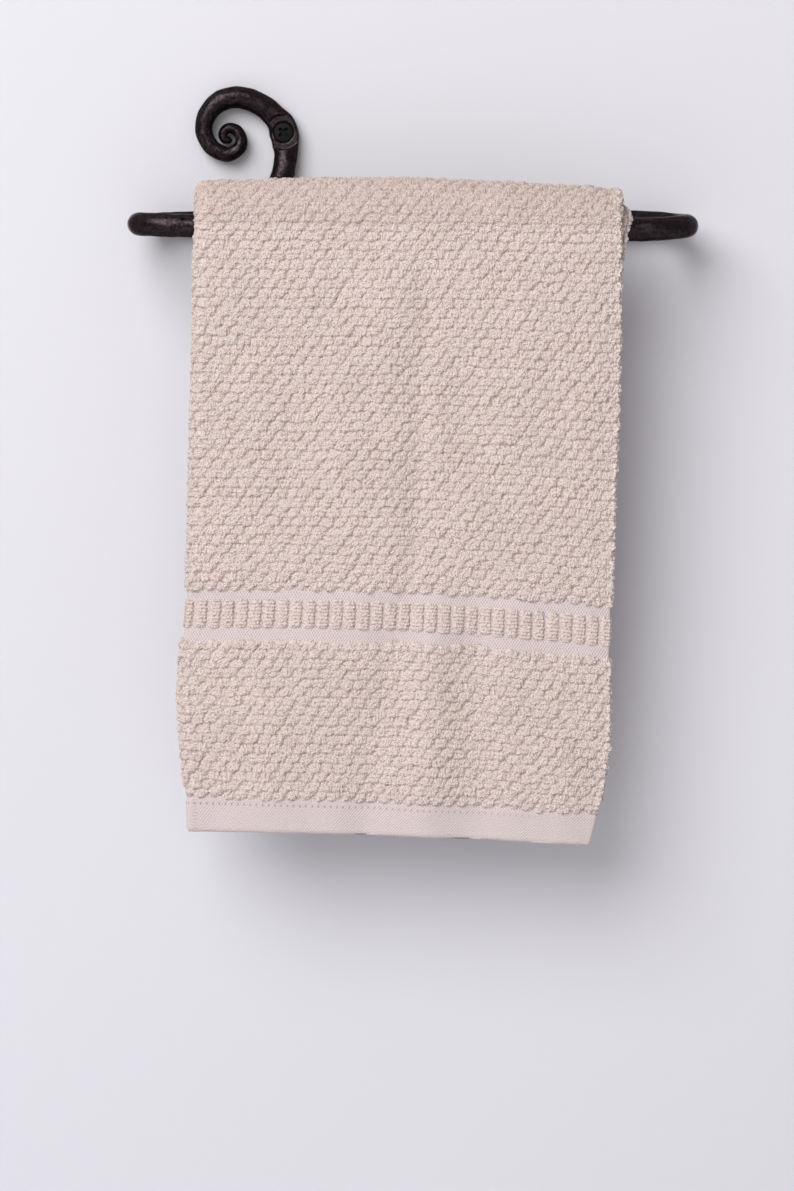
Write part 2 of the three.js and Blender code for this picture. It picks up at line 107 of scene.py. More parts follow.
def meshFrom(name, points, flip=False, uv=None, values=None, caps=None):
    # a grid of points, rows by columns, as quads, its last column joined to its first;
    # values are kept as one number for each point, and caps are more quads of the same points
    rows, cols = points.shape[:2]
    left = np.arange(rows * cols).reshape(rows, cols)
    right = np.roll(left, -1, axis=1)
    quads = np.stack([left[:-1], right[:-1], right[1:], left[1:]], axis=-1).reshape(-1, 4)
    if caps is not None:
        quads = np.vstack([quads, caps])
    if flip:
        quads = quads[:, ::-1]
    mesh = bpy.data.meshes.new(name)
    mesh.vertices.add(rows * cols)
    mesh.vertices.foreach_set("co", (points.reshape(-1, 3) * mm).astype(np.float32).ravel())
    mesh.loops.add(quads.size)
    mesh.loops.foreach_set("vertex_index", quads.astype(np.int32).ravel())
    mesh.polygons.add(len(quads))
    mesh.polygons.foreach_set("loop_start", np.arange(0, quads.size, 4, dtype=np.int32))
    mesh.polygons.foreach_set("use_smooth", np.ones(len(quads), dtype=bool))
    mesh.update(calc_edges=True)
    if uv is not None:
        layer = mesh.uv_layers.new(name="weave")
        layer.data.foreach_set("uv", uv.reshape(-1, 2)[quads.ravel()].astype(np.float32).ravel())
    for key, value in (values or {}).items():
        attribute = mesh.attributes.new(key, "FLOAT", "POINT")
        attribute.data.foreach_set("value", value.astype(np.float32).ravel())
    mesh.validate()
    piece = bpy.data.objects.new(name, mesh)
    bpy.context.scene.collection.objects.link(piece)
    return piece


# Shader nodes

def feedAll(tree, node, given):
    # each named input is linked to the socket given for it, or set to the value given
    for key, value in given.items():
        if isinstance(value, bpy.types.NodeSocket):
            tree.links.new(value, node.inputs[key])
        else:
            node.inputs[key].default_value = value


def addNode(tree, kind, given=None, **settings):
    # a new node with its settings and its inputs; gives its outputs
    node = tree.nodes.new(kind)
    for key, value in settings.items():
        setattr(node, key, value)
    feedAll(tree, node, given or {})
    return node.outputs


def mathTools(tree, *operations):
    # one function for each operation: it takes sockets or numbers and gives the socket of the result
    def tool(kind):
        return lambda *given: addNode(tree, "ShaderNodeMath", dict(enumerate(given)), operation=kind)[0]

    return [tool(kind) for kind in operations]


def mixColors(tree, mask, low, high):
    # low where the mask is 0, high where it is 1; a mix node keeps its colours in these sockets
    factor, first, second, result = 0, 6, 7, 2
    sockets = {factor: mask, first: low, second: high}
    return addNode(tree, "ShaderNodeMix", sockets, data_type="RGBA")[result]


def newGroup(name, inputs, outputs):
    # a node group; an input's kind follows from its value: a number, a vector of 3 or a colour of 4
    group = bpy.data.node_groups.new(name, "ShaderNodeTree")
    for label, value in inputs.items():
        kind = {3: "NodeSocketVector", 4: "NodeSocketColor"}.get(np.size(value), "NodeSocketFloat")
        socket = group.interface.new_socket(label, in_out="INPUT", socket_type=kind)
        socket.default_value = value
    for label, kind in outputs.items():
        group.interface.new_socket(label, in_out="OUTPUT", socket_type=kind)
    return group, group.nodes.new("NodeGroupInput").outputs, group.nodes.new("NodeGroupOutput")


def makeLoopRelief():
    # loops of yarn: small cells of a Voronoi field, roughened by fine fibre noise; the mask, high on each
    # knob, gives painted shade between the loops
    group, given, result = newGroup("loopRelief", {
        "Vector": (0.0, 0.0, 0.0), "Loops": 700.0, "Fibres": 3000.0, "FibreShare": 0.3,
    }, {"Height": "NodeSocketFloat", "Mask": "NodeSocketFloat"})
    add, subtract, multiply = mathTools(group, "ADD", "SUBTRACT", "MULTIPLY")
    cells = addNode(group, "ShaderNodeTexVoronoi", {
        "Vector": given["Vector"], "Scale": given["Loops"], "Smoothness": 0.35,
    }, feature="SMOOTH_F1", voronoi_dimensions="2D")
    fibres = addNode(group, "ShaderNodeTexNoise", {
        "Vector": given["Vector"], "Scale": given["Fibres"], "Detail": 3.0, "Roughness": 0.6,
    }, noise_dimensions="2D")
    knob = subtract(1.0, cells["Distance"])
    rough = multiply(fibres["Fac"], given["FibreShare"])
    feedAll(group, result, {"Height": add(knob, rough), "Mask": knob})
    return group


def makeYarnTint():
    # yarn colour with painted shade: from the shaded colour to top as the mask rises, with broad and fine
    # changes of tone
    group, given, result = newGroup("yarnTint", {
        "Vector": (0.0, 0.0, 0.0), "Top": (0.6, 0.5, 0.45, 1.0), "ShadedYarn": (0.3, 0.2, 0.17, 1.0),
        "Mask": 1.0, "Uneven": 0.1,
    }, {"Color": "NodeSocketColor"})
    add, subtract, multiply = mathTools(group, "ADD", "SUBTRACT", "MULTIPLY")

    def noise(scale, detail):
        sockets = {"Vector": given["Vector"], "Scale": scale, "Detail": detail}
        return addNode(group, "ShaderNodeTexNoise", sockets, noise_dimensions="2D")["Fac"]

    centred = subtract(add(noise(38.0, 3.0), noise(900.0, 2.0)), 1.0)
    level = add(multiply(centred, given["Uneven"]), 1.0)
    mixed = mixColors(group, given["Mask"], given["ShadedYarn"], given["Top"])
    scaled = addNode(group, "ShaderNodeVectorMath", {0: mixed, "Scale": level}, operation="SCALE")
    feedAll(group, result, {"Color": scaled[0]})
    return group


def makeForgeGrain():
    # black forged skin: fine grain over broad uneven patches; gives a height, a colour and a roughness
    group, given, result = newGroup("forgeGrain", {
        "Vector": (0.0, 0.0, 0.0), "Dark": (0.01, 0.01, 0.01, 1.0), "Light": (0.04, 0.03, 0.035, 1.0),
        "Grain": 1400.0, "RoughLow": 0.35, "RoughHigh": 0.6,
    }, {"Height": "NodeSocketFloat", "Color": "NodeSocketColor", "Roughness": "NodeSocketFloat"})
    add, subtract, multiply = mathTools(group, "ADD", "SUBTRACT", "MULTIPLY")
    grain = addNode(group, "ShaderNodeTexNoise", {
        "Vector": given["Vector"], "Scale": given["Grain"], "Detail": 4.0, "Roughness": 0.65})["Fac"]
    patches = addNode(group, "ShaderNodeTexNoise", {
        "Vector": given["Vector"], "Scale": 130.0, "Detail": 3.0})["Fac"]
    specks = multiply(subtract(grain, 0.34), 2.2)
    broad = multiply(subtract(patches, 0.5), 0.4)
    light = addNode(group, "ShaderNodeClamp", {"Value": add(specks, broad)})["Result"]
    span = subtract(given["RoughHigh"], given["RoughLow"])
    share = multiply(add(grain, patches), 0.5)
    feedAll(group, result, {
        "Height": add(grain, multiply(patches, 1.6)),
        "Color": mixColors(group, light, given["Dark"], given["Light"]),
        "Roughness": add(given["RoughLow"], multiply(span, share)),
    })
    return group


def makeFlatWeave():
    # twill on the hems, small staggered holes on the stripes, level ridges on the side hem and a row of
    # stitches: cosines along one or two directions, chosen by the place on the cloth
    group, given, result = newGroup("flatWeave", {
        "Vector": (0.0, 0.0, 0.0), "TwillPitch": 0.0015, "HolePitch": 0.0013, "SideHem": 0.001,
        "HemTop": -0.3, "StitchRow": -0.3, "StitchPitch": 0.003,
    }, {"Height": "NodeSocketFloat", "Stitches": "NodeSocketFloat"})
    add, subtract, multiply, divide = mathTools(group, "ADD", "SUBTRACT", "MULTIPLY", "DIVIDE")
    lessThan, maximum, absolute, cosine, power = mathTools(
        group, "LESS_THAN", "MAXIMUM", "ABSOLUTE", "COSINE", "POWER")
    parts = addNode(group, "ShaderNodeSeparateXYZ", {0: given["Vector"]})
    across, along = parts[0], parts[1]
    twillPitch, holePitch = given["TwillPitch"], given["HolePitch"]

    def wave(value, pitch):
        return cosine(multiply(divide(value, pitch), 2.0 * math.pi))

    def blend(mask, a, b):
        # a where the mask is 0, b where it is 1
        return add(a, multiply(mask, subtract(b, a)))

    twillSlant, holeSlant, ridgeShare = 0.85, 0.6, 0.97
    slanted = subtract(across, multiply(along, twillSlant))
    picks = wave(along, multiply(twillPitch, 0.5))
    twill = add(multiply(wave(slanted, twillPitch), 0.75), multiply(picks, 0.35))
    climb = multiply(along, holeSlant)
    crossed = add(wave(add(across, climb), holePitch), wave(subtract(across, climb), holePitch))
    holes = add(multiply(crossed, 0.9), 0.25)
    ridges = subtract(multiply(wave(along, multiply(twillPitch, ridgeShare)), 0.6), 0.5)
    inHem = lessThan(along, given["HemTop"])
    atSide = multiply(lessThan(absolute(across), given["SideHem"]), inHem)
    weave = blend(atSide, blend(inHem, holes, twill), ridges)
    fray = addNode(group, "ShaderNodeTexNoise", {
        "Vector": given["Vector"], "Scale": 1500.0, "Detail": 2.0}, noise_dimensions="2D")["Fac"]
    uneven = multiply(subtract(fray, 0.5), 2.6)

    halfStitch = 0.0008
    fromRow = absolute(subtract(along, given["StitchRow"]))
    nearRow = maximum(subtract(1.0, divide(fromRow, halfStitch)), 0.0)
    dots = power(maximum(wave(across, given["StitchPitch"]), 0.0), 3.0)
    fading = maximum(subtract(1.25, multiply(absolute(across), 6.0)), 0.0)
    stitches = multiply(multiply(nearRow, multiply(dots, fading)), 2.2)
    feedAll(group, result, {"Height": add(weave, uneven), "Stitches": stitches})
    return group


loopRelief = makeLoopRelief()
flatWeave = makeFlatWeave()
yarnTint = makeYarnTint()
forgeGrain = makeForgeGrain()


# Materials

def newMaterial(name):
    # a material, its node tree and its Principled shader
    material = bpy.data.materials.new(name)
    material.use_nodes = True
    tree = material.node_tree
    return material, tree, tree.nodes["Principled BSDF"]


def bumpFrom(tree, height, finish):
    # the normal that a height gives with a finish's bump
    sockets = {"Strength": finish["bump"], "Distance": finish["bumpDepth"], "Height": height}
    return addNode(tree, "ShaderNodeBump", sockets)["Normal"]


def dressTerry(tree, shader, uv, finish, mask, height):
    # what pile and flat cloth share: tinted yarn with its painted shade, the weave's bump and a dull, soft
    # surface
    color = addNode(tree, "ShaderNodeGroup", {
        "Vector": uv, "Top": finish["top"], "ShadedYarn": finish["shadedYarn"], "Uneven": finish["uneven"],
        "Mask": addNode(tree, "ShaderNodeClamp", {"Value": mask})["Result"],
    }, node_tree=yarnTint)["Color"]
    feedAll(tree, shader, {
        "Base Color": color,
        "Normal": bumpFrom(tree, height, finish),
        "Roughness": finish["rough"],
        "Sheen Weight": finish["sheen"],
        "Sheen Roughness": 0.5,
        "Specular IOR Level": finish["shine"],
    })


pileFinish = {
    "top": (0.834, 0.714, 0.672, 1.0),
    # colour of the painted shade in the creases between cells
    "shadedYarn": (0.440, 0.310, 0.250, 1.0),
    "uneven": 0.10,
    "loops": 1150.0,      # loops for each metre
    "fibres": 1500.0,
    "bump": 1.0,
    "bumpDepth": 0.00085,
    "rough": 0.92,
    "sheen": 0.25,
    "shine": 0.2,
}
ribFinish = dict(pileFinish, top=(0.770, 0.661, 0.625, 1.0), loops=900.0, bumpDepth=0.0007)


def makePileMaterial(name, finish):
    # loops of yarn, with painted shade between the loops and where the piece's own painted shade value is
    # low
    material, tree, shader = newMaterial(name)
    add, multiply = mathTools(tree, "ADD", "MULTIPLY")
    uv = addNode(tree, "ShaderNodeUVMap")["UV"]
    relief = addNode(tree, "ShaderNodeGroup", {
        "Vector": uv, "Loops": finish["loops"], "Fibres": finish["fibres"], "FibreShare": 1.0,
    }, node_tree=loopRelief)
    paintedShade = addNode(tree, "ShaderNodeAttribute", attribute_name="paintedShade")["Fac"]
    # painted shade: the piece's own value, times darker gaps between the loops
    mask = multiply(paintedShade, add(multiply(relief["Mask"], 1.2), 0.28))
    dressTerry(tree, shader, uv, finish, mask, relief["Height"])
    return material


flatFinish = {
    "top": (0.655, 0.575, 0.568, 1.0),
    # colour of the painted shade in the weave's hollows
    "shadedYarn": (0.395, 0.314, 0.308, 1.0),
    "uneven": 0.06,
    # strength of the painted shade in the weave's hollows
    "hollowShade": 0.28,
    "bump": 0.5,
    "bumpDepth": 0.0002,
    "rough": 0.85,
    "sheen": 0.15,
    "shine": 0.25,
    "weave": {            # in metres of cloth, from the fold and from the bar
        "TwillPitch": 0.00150,
        "HolePitch": 0.00135,
        "SideHem": 0.0012,
        "HemTop": -0.2748,
        "StitchRow": -0.2772,
        "StitchPitch": 0.00307,
    },
}


def makeFlatMaterial(name, finish):
    # flat cloth, with painted shade in the weave's hollows, and darkened at the stitches
    material, tree, shader = newMaterial(name)
    add, subtract, multiply = mathTools(tree, "ADD", "SUBTRACT", "MULTIPLY")
    uv = addNode(tree, "ShaderNodeUVMap")["UV"]
    weave = addNode(tree, "ShaderNodeGroup", {"Vector": uv, **finish["weave"]}, node_tree=flatWeave)
    # painted shade: the lower the weave, the darker the yarn
    shaded = add(multiply(weave["Height"], finish["hollowShade"]), 0.70)
    dressTerry(tree, shader, uv, finish, subtract(shaded, weave["Stitches"]), weave["Height"])
    return material


ironFinish = {
    "dark": (0.0040, 0.0030, 0.0035, 1.0),
    "light": (0.0660, 0.0500, 0.0560, 1.0),
    "grain": 950.0,
    "roughLow": 0.13,
    "roughHigh": 0.23,
    "bump": 0.50,
    "bumpDepth": 0.00040,
    "tint": (0.34, 0.28, 0.31, 1.0),
    "shine": 0.24,
    "metal": 0.8,
}
screwFinish = {
    "dark": (0.0012, 0.0010, 0.0012, 1.0),
    "light": (0.0075, 0.0064, 0.0071, 1.0),
    "grain": 2600.0,
    "roughLow": 0.40,
    "roughHigh": 0.55,
    "bump": 0.15,
    "bumpDepth": 0.0002,
    "tint": (1.0, 0.97, 1.0, 1.0),
    "shine": 0.12,
    "metal": 0.0,
}


def makeIronMaterial(name, finish):
    # forged skin on Object coordinates; the tint darkens the metal's bright edge
    material, tree, shader = newMaterial(name)
    grain = addNode(tree, "ShaderNodeGroup", {
        "Vector": addNode(tree, "ShaderNodeTexCoord")["Object"],
        "Dark": finish["dark"], "Light": finish["light"], "Grain": finish["grain"],
        "RoughLow": finish["roughLow"], "RoughHigh": finish["roughHigh"],
    }, node_tree=forgeGrain)
    feedAll(tree, shader, {
        "Base Color": grain["Color"],
        "Roughness": grain["Roughness"],
        "Normal": bumpFrom(tree, grain["Height"], finish),
        "Metallic": finish["metal"],
        "Specular IOR Level": finish["shine"],
        "Specular Tint": finish["tint"],
    })
    return material


pileMaterial = makePileMaterial("terryPile", pileFinish)
ribMaterial = makePileMaterial("terryRibs", ribFinish)
flatMaterial = makeFlatMaterial("terryFlat", flatFinish)
ironMaterial = makeIronMaterial("forgedIron", ironFinish)
screwMaterial = makeIronMaterial("blackScrew", screwFinish)
print("materials made")


# The forged bar

bar = {
    "diameter": 11.1,
    "frontY": -52.0,
    "backY": -6.0,
    "leftBendX": -45.5,
    "rightBendX": 172.0,
    "frontZ": (-40.1, -42.0),  # the front rod's height at its left and its right
    "backZ": (-36.9, -36.5),   # the back rod's
    "backEndX": 8.0,
    "bendSquare": 0.66,   # 1 is a half circle, and less is squarer
    "bendEvening": 0.16,  # draws rows together where the squared bend would spread them
    "scrollSteps": 11,    # rows for each point of the scroll
    "bendSteps": 40,
    "frontSteps": 70,
    "backSteps": 50,
    "sides": 56,
    "startRound": 1.2,    # length of the rounded inner end of the scroll
    "endRound": 2.0,
    "hammer": 0.14,       # depth of the dents
    "screwZ": 7.0,
    "spotY": -7.35,       # flat face round the screw
    "spotRadius": 7.3,
    "spotRim": 1.3,       # half width of its soft rim
    "spotDrop": 4.0,      # how far the cut stands off the pad past that rim
    "headRadius": 4.75,
    "seatRadius": 5.4,
    "seatRim": 0.2,       # how far inside the head's radius the seat's wall starts
    "seatDepth": 1.0,
    "coneRims": (0.9, 0.1),  # how far inside it the cone's wall starts and ends
    "coneDepth": 2.4,
}
hammerDents = {"pitch": 5.2, "rowPitch": 6.4, "shakeX": 0.35, "shakeY": 0.3, "lean": 0.0, "square": 2.0}
rod = bar["diameter"]

# scroll, pad and stem from the inner end: centre, width along the wall, thickness off it, squareness
scrollTable = np.array([
    # x, y, z, wide, thick, square
    (-26.0, -5.0, 4.7, 3.4, 3.0, 2.0),
    (-27.0, -5.2, 3.5, 3.9, 4.2, 2.0),
    (-28.9, -5.4, 3.9, 4.2, 5.0, 2.0),
    (-29.6, -5.4, 6.6, 4.4, 5.6, 2.0),
    (-26.9, -5.5, 9.1, 5.0, 6.2, 2.0),
    (-23.1, -5.5, 8.3, 5.4, 6.6, 2.0),
    (-20.8, -5.5, 4.8, 5.9, 7.1, 2.0),
    (-21.1, -5.5, 0.6, 6.3, 7.4, 2.0),
    (-23.9, -5.6, -2.5, 6.8, 7.8, 2.0),
    (-28.4, -5.6, -3.5, 7.3, 8.2, 2.0),
    (-34.8, -5.6, -0.3, 8.0, 8.7, 2.0),
    (-38.4, -5.6, 5.6, 8.3, 9.2, 2.0),
    (-38.7, -5.6, 11.0, 8.6, 9.8, 2.0),
    (-36.9, -5.6, 16.2, 9.2, 10.4, 2.0),
    (-33.6, -5.6, 20.2, 9.8, 10.8, 2.0),
    (-28.9, -5.6, 23.0, 10.4, 11.0, 2.0),
    (-22.9, -5.6, 24.0, 10.7, 11.0, 2.0),
    (-15.9, -5.5, 22.7, 10.8, 10.8, 2.0),
    (-9.6, -5.0, 19.6, 10.9, 10.0, 2.1),
    (-4.6, -4.4, 15.3, 11.6, 9.0, 2.4),
    (-1.2, -4.0, 11.0, 13.4, 8.4, 2.8),
    (0.4, -4.0, 6.2, 14.3, 8.6, 2.9),
    (1.0, -4.6, 1.2, 13.0, 9.6, 2.6),
    (1.1, -5.2, -4.2, 11.4, 10.6, 2.2),
    (0.5, -5.8, -9.6, rod, rod, 2.0),
    (-1.2, -6.0, -16.0, rod, rod, 2.0),
    (-5.0, -6.0, -23.4, rod, rod, 2.0),
    (-11.2, -6.0, -30.2, rod, rod, 2.0),
    (-19.4, -6.0, -35.0, rod, rod, 2.0),
    (-28.6, -6.0, -37.6, rod, rod, 2.0),
])


def splineThrough(rows, subSteps):
    # Catmull-Rom through the rows, every column alike
    padded = np.vstack([2 * rows[0] - rows[1], rows, 2 * rows[-1] - rows[-2]])
    t = np.linspace(0.0, 1.0, subSteps, endpoint=False)[None, :, None]
    a, b, c, d = (padded[i:len(rows) - 1 + i][:, None, :] for i in range(4))
    squarePart = (2 * a - 5 * b + 4 * c - d) * t ** 2
    cubePart = (3 * b - a - 3 * c + d) * t ** 3
    points = 0.5 * (2 * b + (c - a) * t + squarePart + cubePart)
    return np.vstack([points.reshape(-1, rows.shape[1]), rows[-1:]])


def roundRows(centre):
    # round rod about the given centres
    size = np.full((len(centre), 1), rod)
    return np.hstack([centre, size, size, np.full((len(centre), 1), 2.0)])


def bendRows(middleX, sign, startZ, endZ, fromBack):
    # squared half turn of the rod about (middleX, middle of the loop), its height changing evenly
    turn = np.linspace(0.0, math.pi, bar["bendSteps"])
    turn = turn - bar["bendEvening"] * np.sin(4.0 * turn)
    across = np.abs(np.sin(turn)) ** bar["bendSquare"]
    away = np.sign(np.cos(turn)) * np.abs(np.cos(turn)) ** bar["bendSquare"]
    middleY = 0.5 * (bar["frontY"] + bar["backY"])
    radius = 0.5 * (bar["backY"] - bar["frontY"])
    x = middleX + sign * radius * across
    y = middleY + fromBack * radius * away
    z = startZ + (endZ - startZ) * turn / math.pi
    return roundRows(np.column_stack([x, y, z]))


def straightRows(start, end, steps):
    # straight run of the rod between two centres, ends left out
    share = np.linspace(0.0, 1.0, steps + 2)[1:-1, None]
    return roundRows(np.array(start) + (np.array(end) - np.array(start)) * share)


def barRows():
    # scroll and stem, left bend, front rod, right bend and back rod, one after the other
    scroll = splineThrough(scrollTable, bar["scrollSteps"])
    leftBend = bendRows(bar["leftBendX"], -1.0, bar["backZ"][0], bar["frontZ"][0], 1.0)
    frontEnd = (bar["rightBendX"], bar["frontY"], bar["frontZ"][1])
    front = straightRows(leftBend[-1, :3], frontEnd, bar["frontSteps"])
    rightBend = bendRows(bar["rightBendX"], 1.0, bar["frontZ"][1], bar["backZ"][1], -1.0)
    endCentre = (bar["backEndX"], bar["backY"], bar["backZ"][0])
    back = straightRows(rightBend[-1, :3], endCentre, bar["backSteps"])
    return np.vstack([scroll, leftBend, front, rightBend, back, roundRows(np.array([endCentre]))])


def sweep(rows, sides, roundStart, roundEnd):
    # superellipse sections carried along the rows without twist; both ends rounded off to a point
    centre = rows[:, :3]
    tangent = np.gradient(centre, axis=0)
    tangent /= np.linalg.norm(tangent, axis=1)[:, None]
    normal = np.zeros_like(centre)
    carried = np.array([0.0, -1.0, 0.0])
    for i, along in enumerate(tangent):
        carried = carried - along * carried.dot(along)
        carried = carried / np.linalg.norm(carried)
        normal[i] = carried
    side = np.cross(tangent, normal)
    turn = np.linspace(0.0, 2.0 * math.pi, sides, endpoint=False)[None, :]
    power = 2.0 / rows[:, 5:6]
    out = np.sign(np.sin(turn)) * np.abs(np.sin(turn)) ** power * rows[:, 4:5] / 2
    across = np.sign(np.cos(turn)) * np.abs(np.cos(turn)) ** power * rows[:, 3:4] / 2
    length = np.concatenate([[0.0], np.cumsum(np.linalg.norm(np.diff(centre, axis=0), axis=1))])
    for fromEnd, reach in ((length, roundStart), (length[-1] - length, roundEnd)):
        inside = np.clip(fromEnd / reach, 0.0, 1.0)[:, None]
        taper = np.sqrt(np.clip(1.0 - (1.0 - inside) ** 2, 0.0, 1.0)) + 1e-4
        out, across = out * taper, across * taper
    points = centre[:, None, :] + normal[:, None, :] * out[..., None] + side[:, None, :] * across[..., None]
    return points, length, turn


def makeBar():
    # the swept rod, dented by the hammer, with the screw's flat face and seat sunk in, shaved at the wall
    rows = barRows()
    points, length, turn = sweep(rows, bar["sides"], bar["startRound"], bar["endRound"])
    outward = points - rows[:, None, :3]
    reach = np.linalg.norm(outward, axis=2)
    around = turn * rod / 2 * np.ones_like(reach)
    along = length[:, None] * np.ones_like(reach)
    dents = cellField(around, along, hammerDents, seeds["dents"])
    bowl = np.clip(dents["near"], 0, 1.2) ** 2 - 0.6
    dent = bar["hammer"] * bowl * (1.0 + 0.5 * dents["numbers"][..., 2])
    dent = dent * smoothStep(0.5, 3.0, reach)  # none where an end closes to a point
    points = points + outward / np.maximum(reach, 0.01)[..., None] * dent[..., None]

    fromScrew = np.hypot(points[..., 0], points[..., 2] - bar["screwZ"])
    spotEdge, head = bar["spotRadius"] + bar["spotRim"], bar["headRadius"]
    beyond = smoothStep(bar["spotRadius"] - bar["spotRim"], spotEdge, fromScrew)
    inSeat = 1.0 - smoothStep(head - bar["seatRim"], bar["seatRadius"], fromScrew)
    inCone = 1.0 - smoothStep(head - bar["coneRims"][0], head - bar["coneRims"][1], fromScrew)
    spot = bar["spotY"] - beyond * bar["spotDrop"]
    seat = bar["spotY"] + bar["seatDepth"] * inSeat + bar["coneDepth"] * inCone
    nearPad = (fromScrew < spotEdge) & (points[..., 1] < -2.0)
    sunkY = np.maximum(points[..., 1], np.maximum(spot, seat))
    points[..., 1] = np.minimum(np.where(nearPad, sunkY, points[..., 1]), 0.0)
    piece = meshFrom("forgedBar", points)
    piece.data.materials.append(ironMaterial)
    return piece


forgedBar = makeBar()
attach(forgedBar, bodyName)
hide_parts("towel_bar")
print("bar made:", len(forgedBar.data.polygons), "faces")


# The screw

screw = {
    "topY": -6.7,
    "crown": 0.25,        # rise of the head's middle
    "rimDrop": 0.25,
    "rimDepth": 0.45,     # from the top to the head's sharp edge
    "coneEnd": 2.7,
    "shankRadius": 2.4,
    "endY": -0.3,
    "tipRadius": 0.02,
    "recess": 1.9,        # depth of the cross
    "armLength": 2.75,
    "armFoot": 0.7,       # length of the slope at an arm's end
    "armWidth": 0.72,
    "armTaper": 0.25,
    "armSoft": 0.12,      # half width of the slope at its sides
    "spokes": 112,
    "rings": 46,
}


def makeScrewMesh():
    # polar grid over the head, sunk where the two arms of the recess cross, then cone and shank
    steps = np.linspace(0.0, 1.0, screw["rings"])[1:, None] ** 0.9
    turn = np.linspace(0.0, 2.0 * math.pi, screw["spokes"], endpoint=False)[None, :]
    cosTurn, sinTurn = np.cos(turn), np.sin(turn)
    radius = steps * bar["headRadius"]
    x, z = radius * cosTurn, radius * sinTurn
    diagonalA, diagonalB = (x + z) / math.sqrt(2), (x - z) / math.sqrt(2)

    def arm(longWay, shortWay):
        length, soft = screw["armLength"], screw["armSoft"]
        end = 1.0 - smoothStep(length - screw["armFoot"], length + 0.1, np.abs(longWay))
        width = screw["armWidth"] * (1.0 - screw["armTaper"] * np.abs(longWay) / length)
        return end * (1.0 - smoothStep(width - soft, width + soft, np.abs(shortWay)))

    def ring(size, y):
        return np.stack([size * cosTurn, np.full(turn.shape, y), size * sinTurn], axis=-1)

    sunk = np.maximum(arm(diagonalA, diagonalB), arm(diagonalB, diagonalA))
    crown = screw["crown"] * (1.0 - steps ** 2)
    rim = screw["rimDrop"] * smoothStep(0.93, 1.0, steps)
    y = screw["topY"] - crown + rim + sunk * screw["recess"]
    points = np.vstack([
        ring(screw["tipRadius"], screw["topY"] - screw["crown"] + screw["recess"]),
        np.stack([x, y, z], axis=-1),
        ring(bar["headRadius"], screw["topY"] + screw["rimDepth"]),
        ring(screw["shankRadius"], screw["topY"] + screw["coneEnd"]),
        ring(screw["shankRadius"], screw["endY"]),
        ring(screw["tipRadius"], screw["endY"]),
    ])
    points[..., 2] += bar["screwZ"]
    piece = meshFrom("padScrew", points, flip=True)
    piece.data.materials.append(screwMaterial)
    return piece


padScrew = makeScrewMesh()
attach(padScrew, bodyName)
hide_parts("screw")
print("screw made")


# The towel's shape

towel = {
    "layerSpacing": 6.5,
    "pileReach": 2.5,     # from a layer's middle to its pile's outline
    "clearance": 0.5,
    "edgeInset": 2.4,     # from the pile's outline to the cloth's own edge
    "edgePinch": 1.2,     # how far each layer's edge draws in to the other's
    "pinchFrom": 0.93,    # share of the width where that starts
    "foldInside": 1.2,    # radius of the fold's inner face
    "tipRadius": 2.3,
    "archLength": 47.0,   # cloth over the bar
    "crownStretch": 0.4553,  # how much longer its outer face is there
    "topZ": -41.0,
    "midX": 57.0,
    "halfSpan": 98.0,
    "width": 198.0,       # one layer from the fold's turn to the selvedge
    "leanIn": (3.6, 52.0, 170.0),  # the panels draw in by this much, from one depth to another
    "slopeBlend": 8.0,    # drop over which rows leave the bar's slope for their own
    "reliefBlend": 30.0,  # drop over which the folds and the slack come in
    "foldSquare": 0.55,
    "hemFoldIn": 1.5,     # the hem has no pile, so its fold and its edge stand otherwise
    "hemEdgeOut": 1.2,
    "groundHalf": 0.8,
    "hemHalf": 1.2,
    "hidden": 0.35,       # how far inside the ground cloth a face lies that should not show
}

# height of each named row, measured down the middle of the front panel
rowsAt = {
    "hem": -331.2,
    "hemTop": -315.6,
    "lowStripe": -237.6,
    "ribFoot": -233.0,
    "ribTop": -218.0,
    "highStripe": -214.4,
    "middle": -128.0,
    "backRise": 19.2,     # how much higher the same rows lie on the back panel
}

# x of the fold and of each layer's right edge, from the bar down
frontEdges = {
    "z": [-41, -57, -94, -132, -170, -208, -227, -246, -265, -284, -304, -316, -332],
    "left": [-39.6, -41.0, -41.4, -42.9, -44.1, -45.4, -46.8, -48.9, -49.9, -49.2, -47.6, -45.6, -45.2],
    "outerRight": [161.6, 161.7, 161.7, 161.2, 159.8, 159.0, 158.6, 158.2, 158.2, 157.9,
                   155.1, 151.6, 147.9],
    "innerRight": [164.8, 162.6, 160.6, 159.6, 158.0, 157.2, 156.8, 156.4, 156.4, 156.1,
                   153.3, 149.8, 146.2],
}
backEdges = {
    "z": [-41, -150, -240, -312],
    "left": [-39.6, -41.6, -43.0, -42.4],
    "outerRight": [159.6, 157.0, 154.4, 149.6],
    "innerRight": [161.0, 155.4, 152.6, 148.0],
}
# the inner layer's edge over the bar and beside it
innerBulge = {"place": 6.7, "spread": 7.0, "size": 1.7, "tuck": 2.6}
# how far the outer layer stands off the inner one over the bar, from the fold (0) to the edge (1)
crownLift = {
    "across": [0.0, 0.03, 0.12, 0.25, 0.5, 0.72, 0.9, 1.0],
    "lift": [3.0, 3.6, 4.0, 5.2, 5.8, 4.2, 2.4, 2.2],
}
# how a row runs across the cloth, as a slope and a curve over half its width
rowFall = {
    "z": [-41, -130, -225, -316, -332],
    "slope": [-0.84, -2.4, -4.3, -4.5, -3.7],
    "curve": [0.0, -1.2, -2.9, -1.2, -1.5],
}
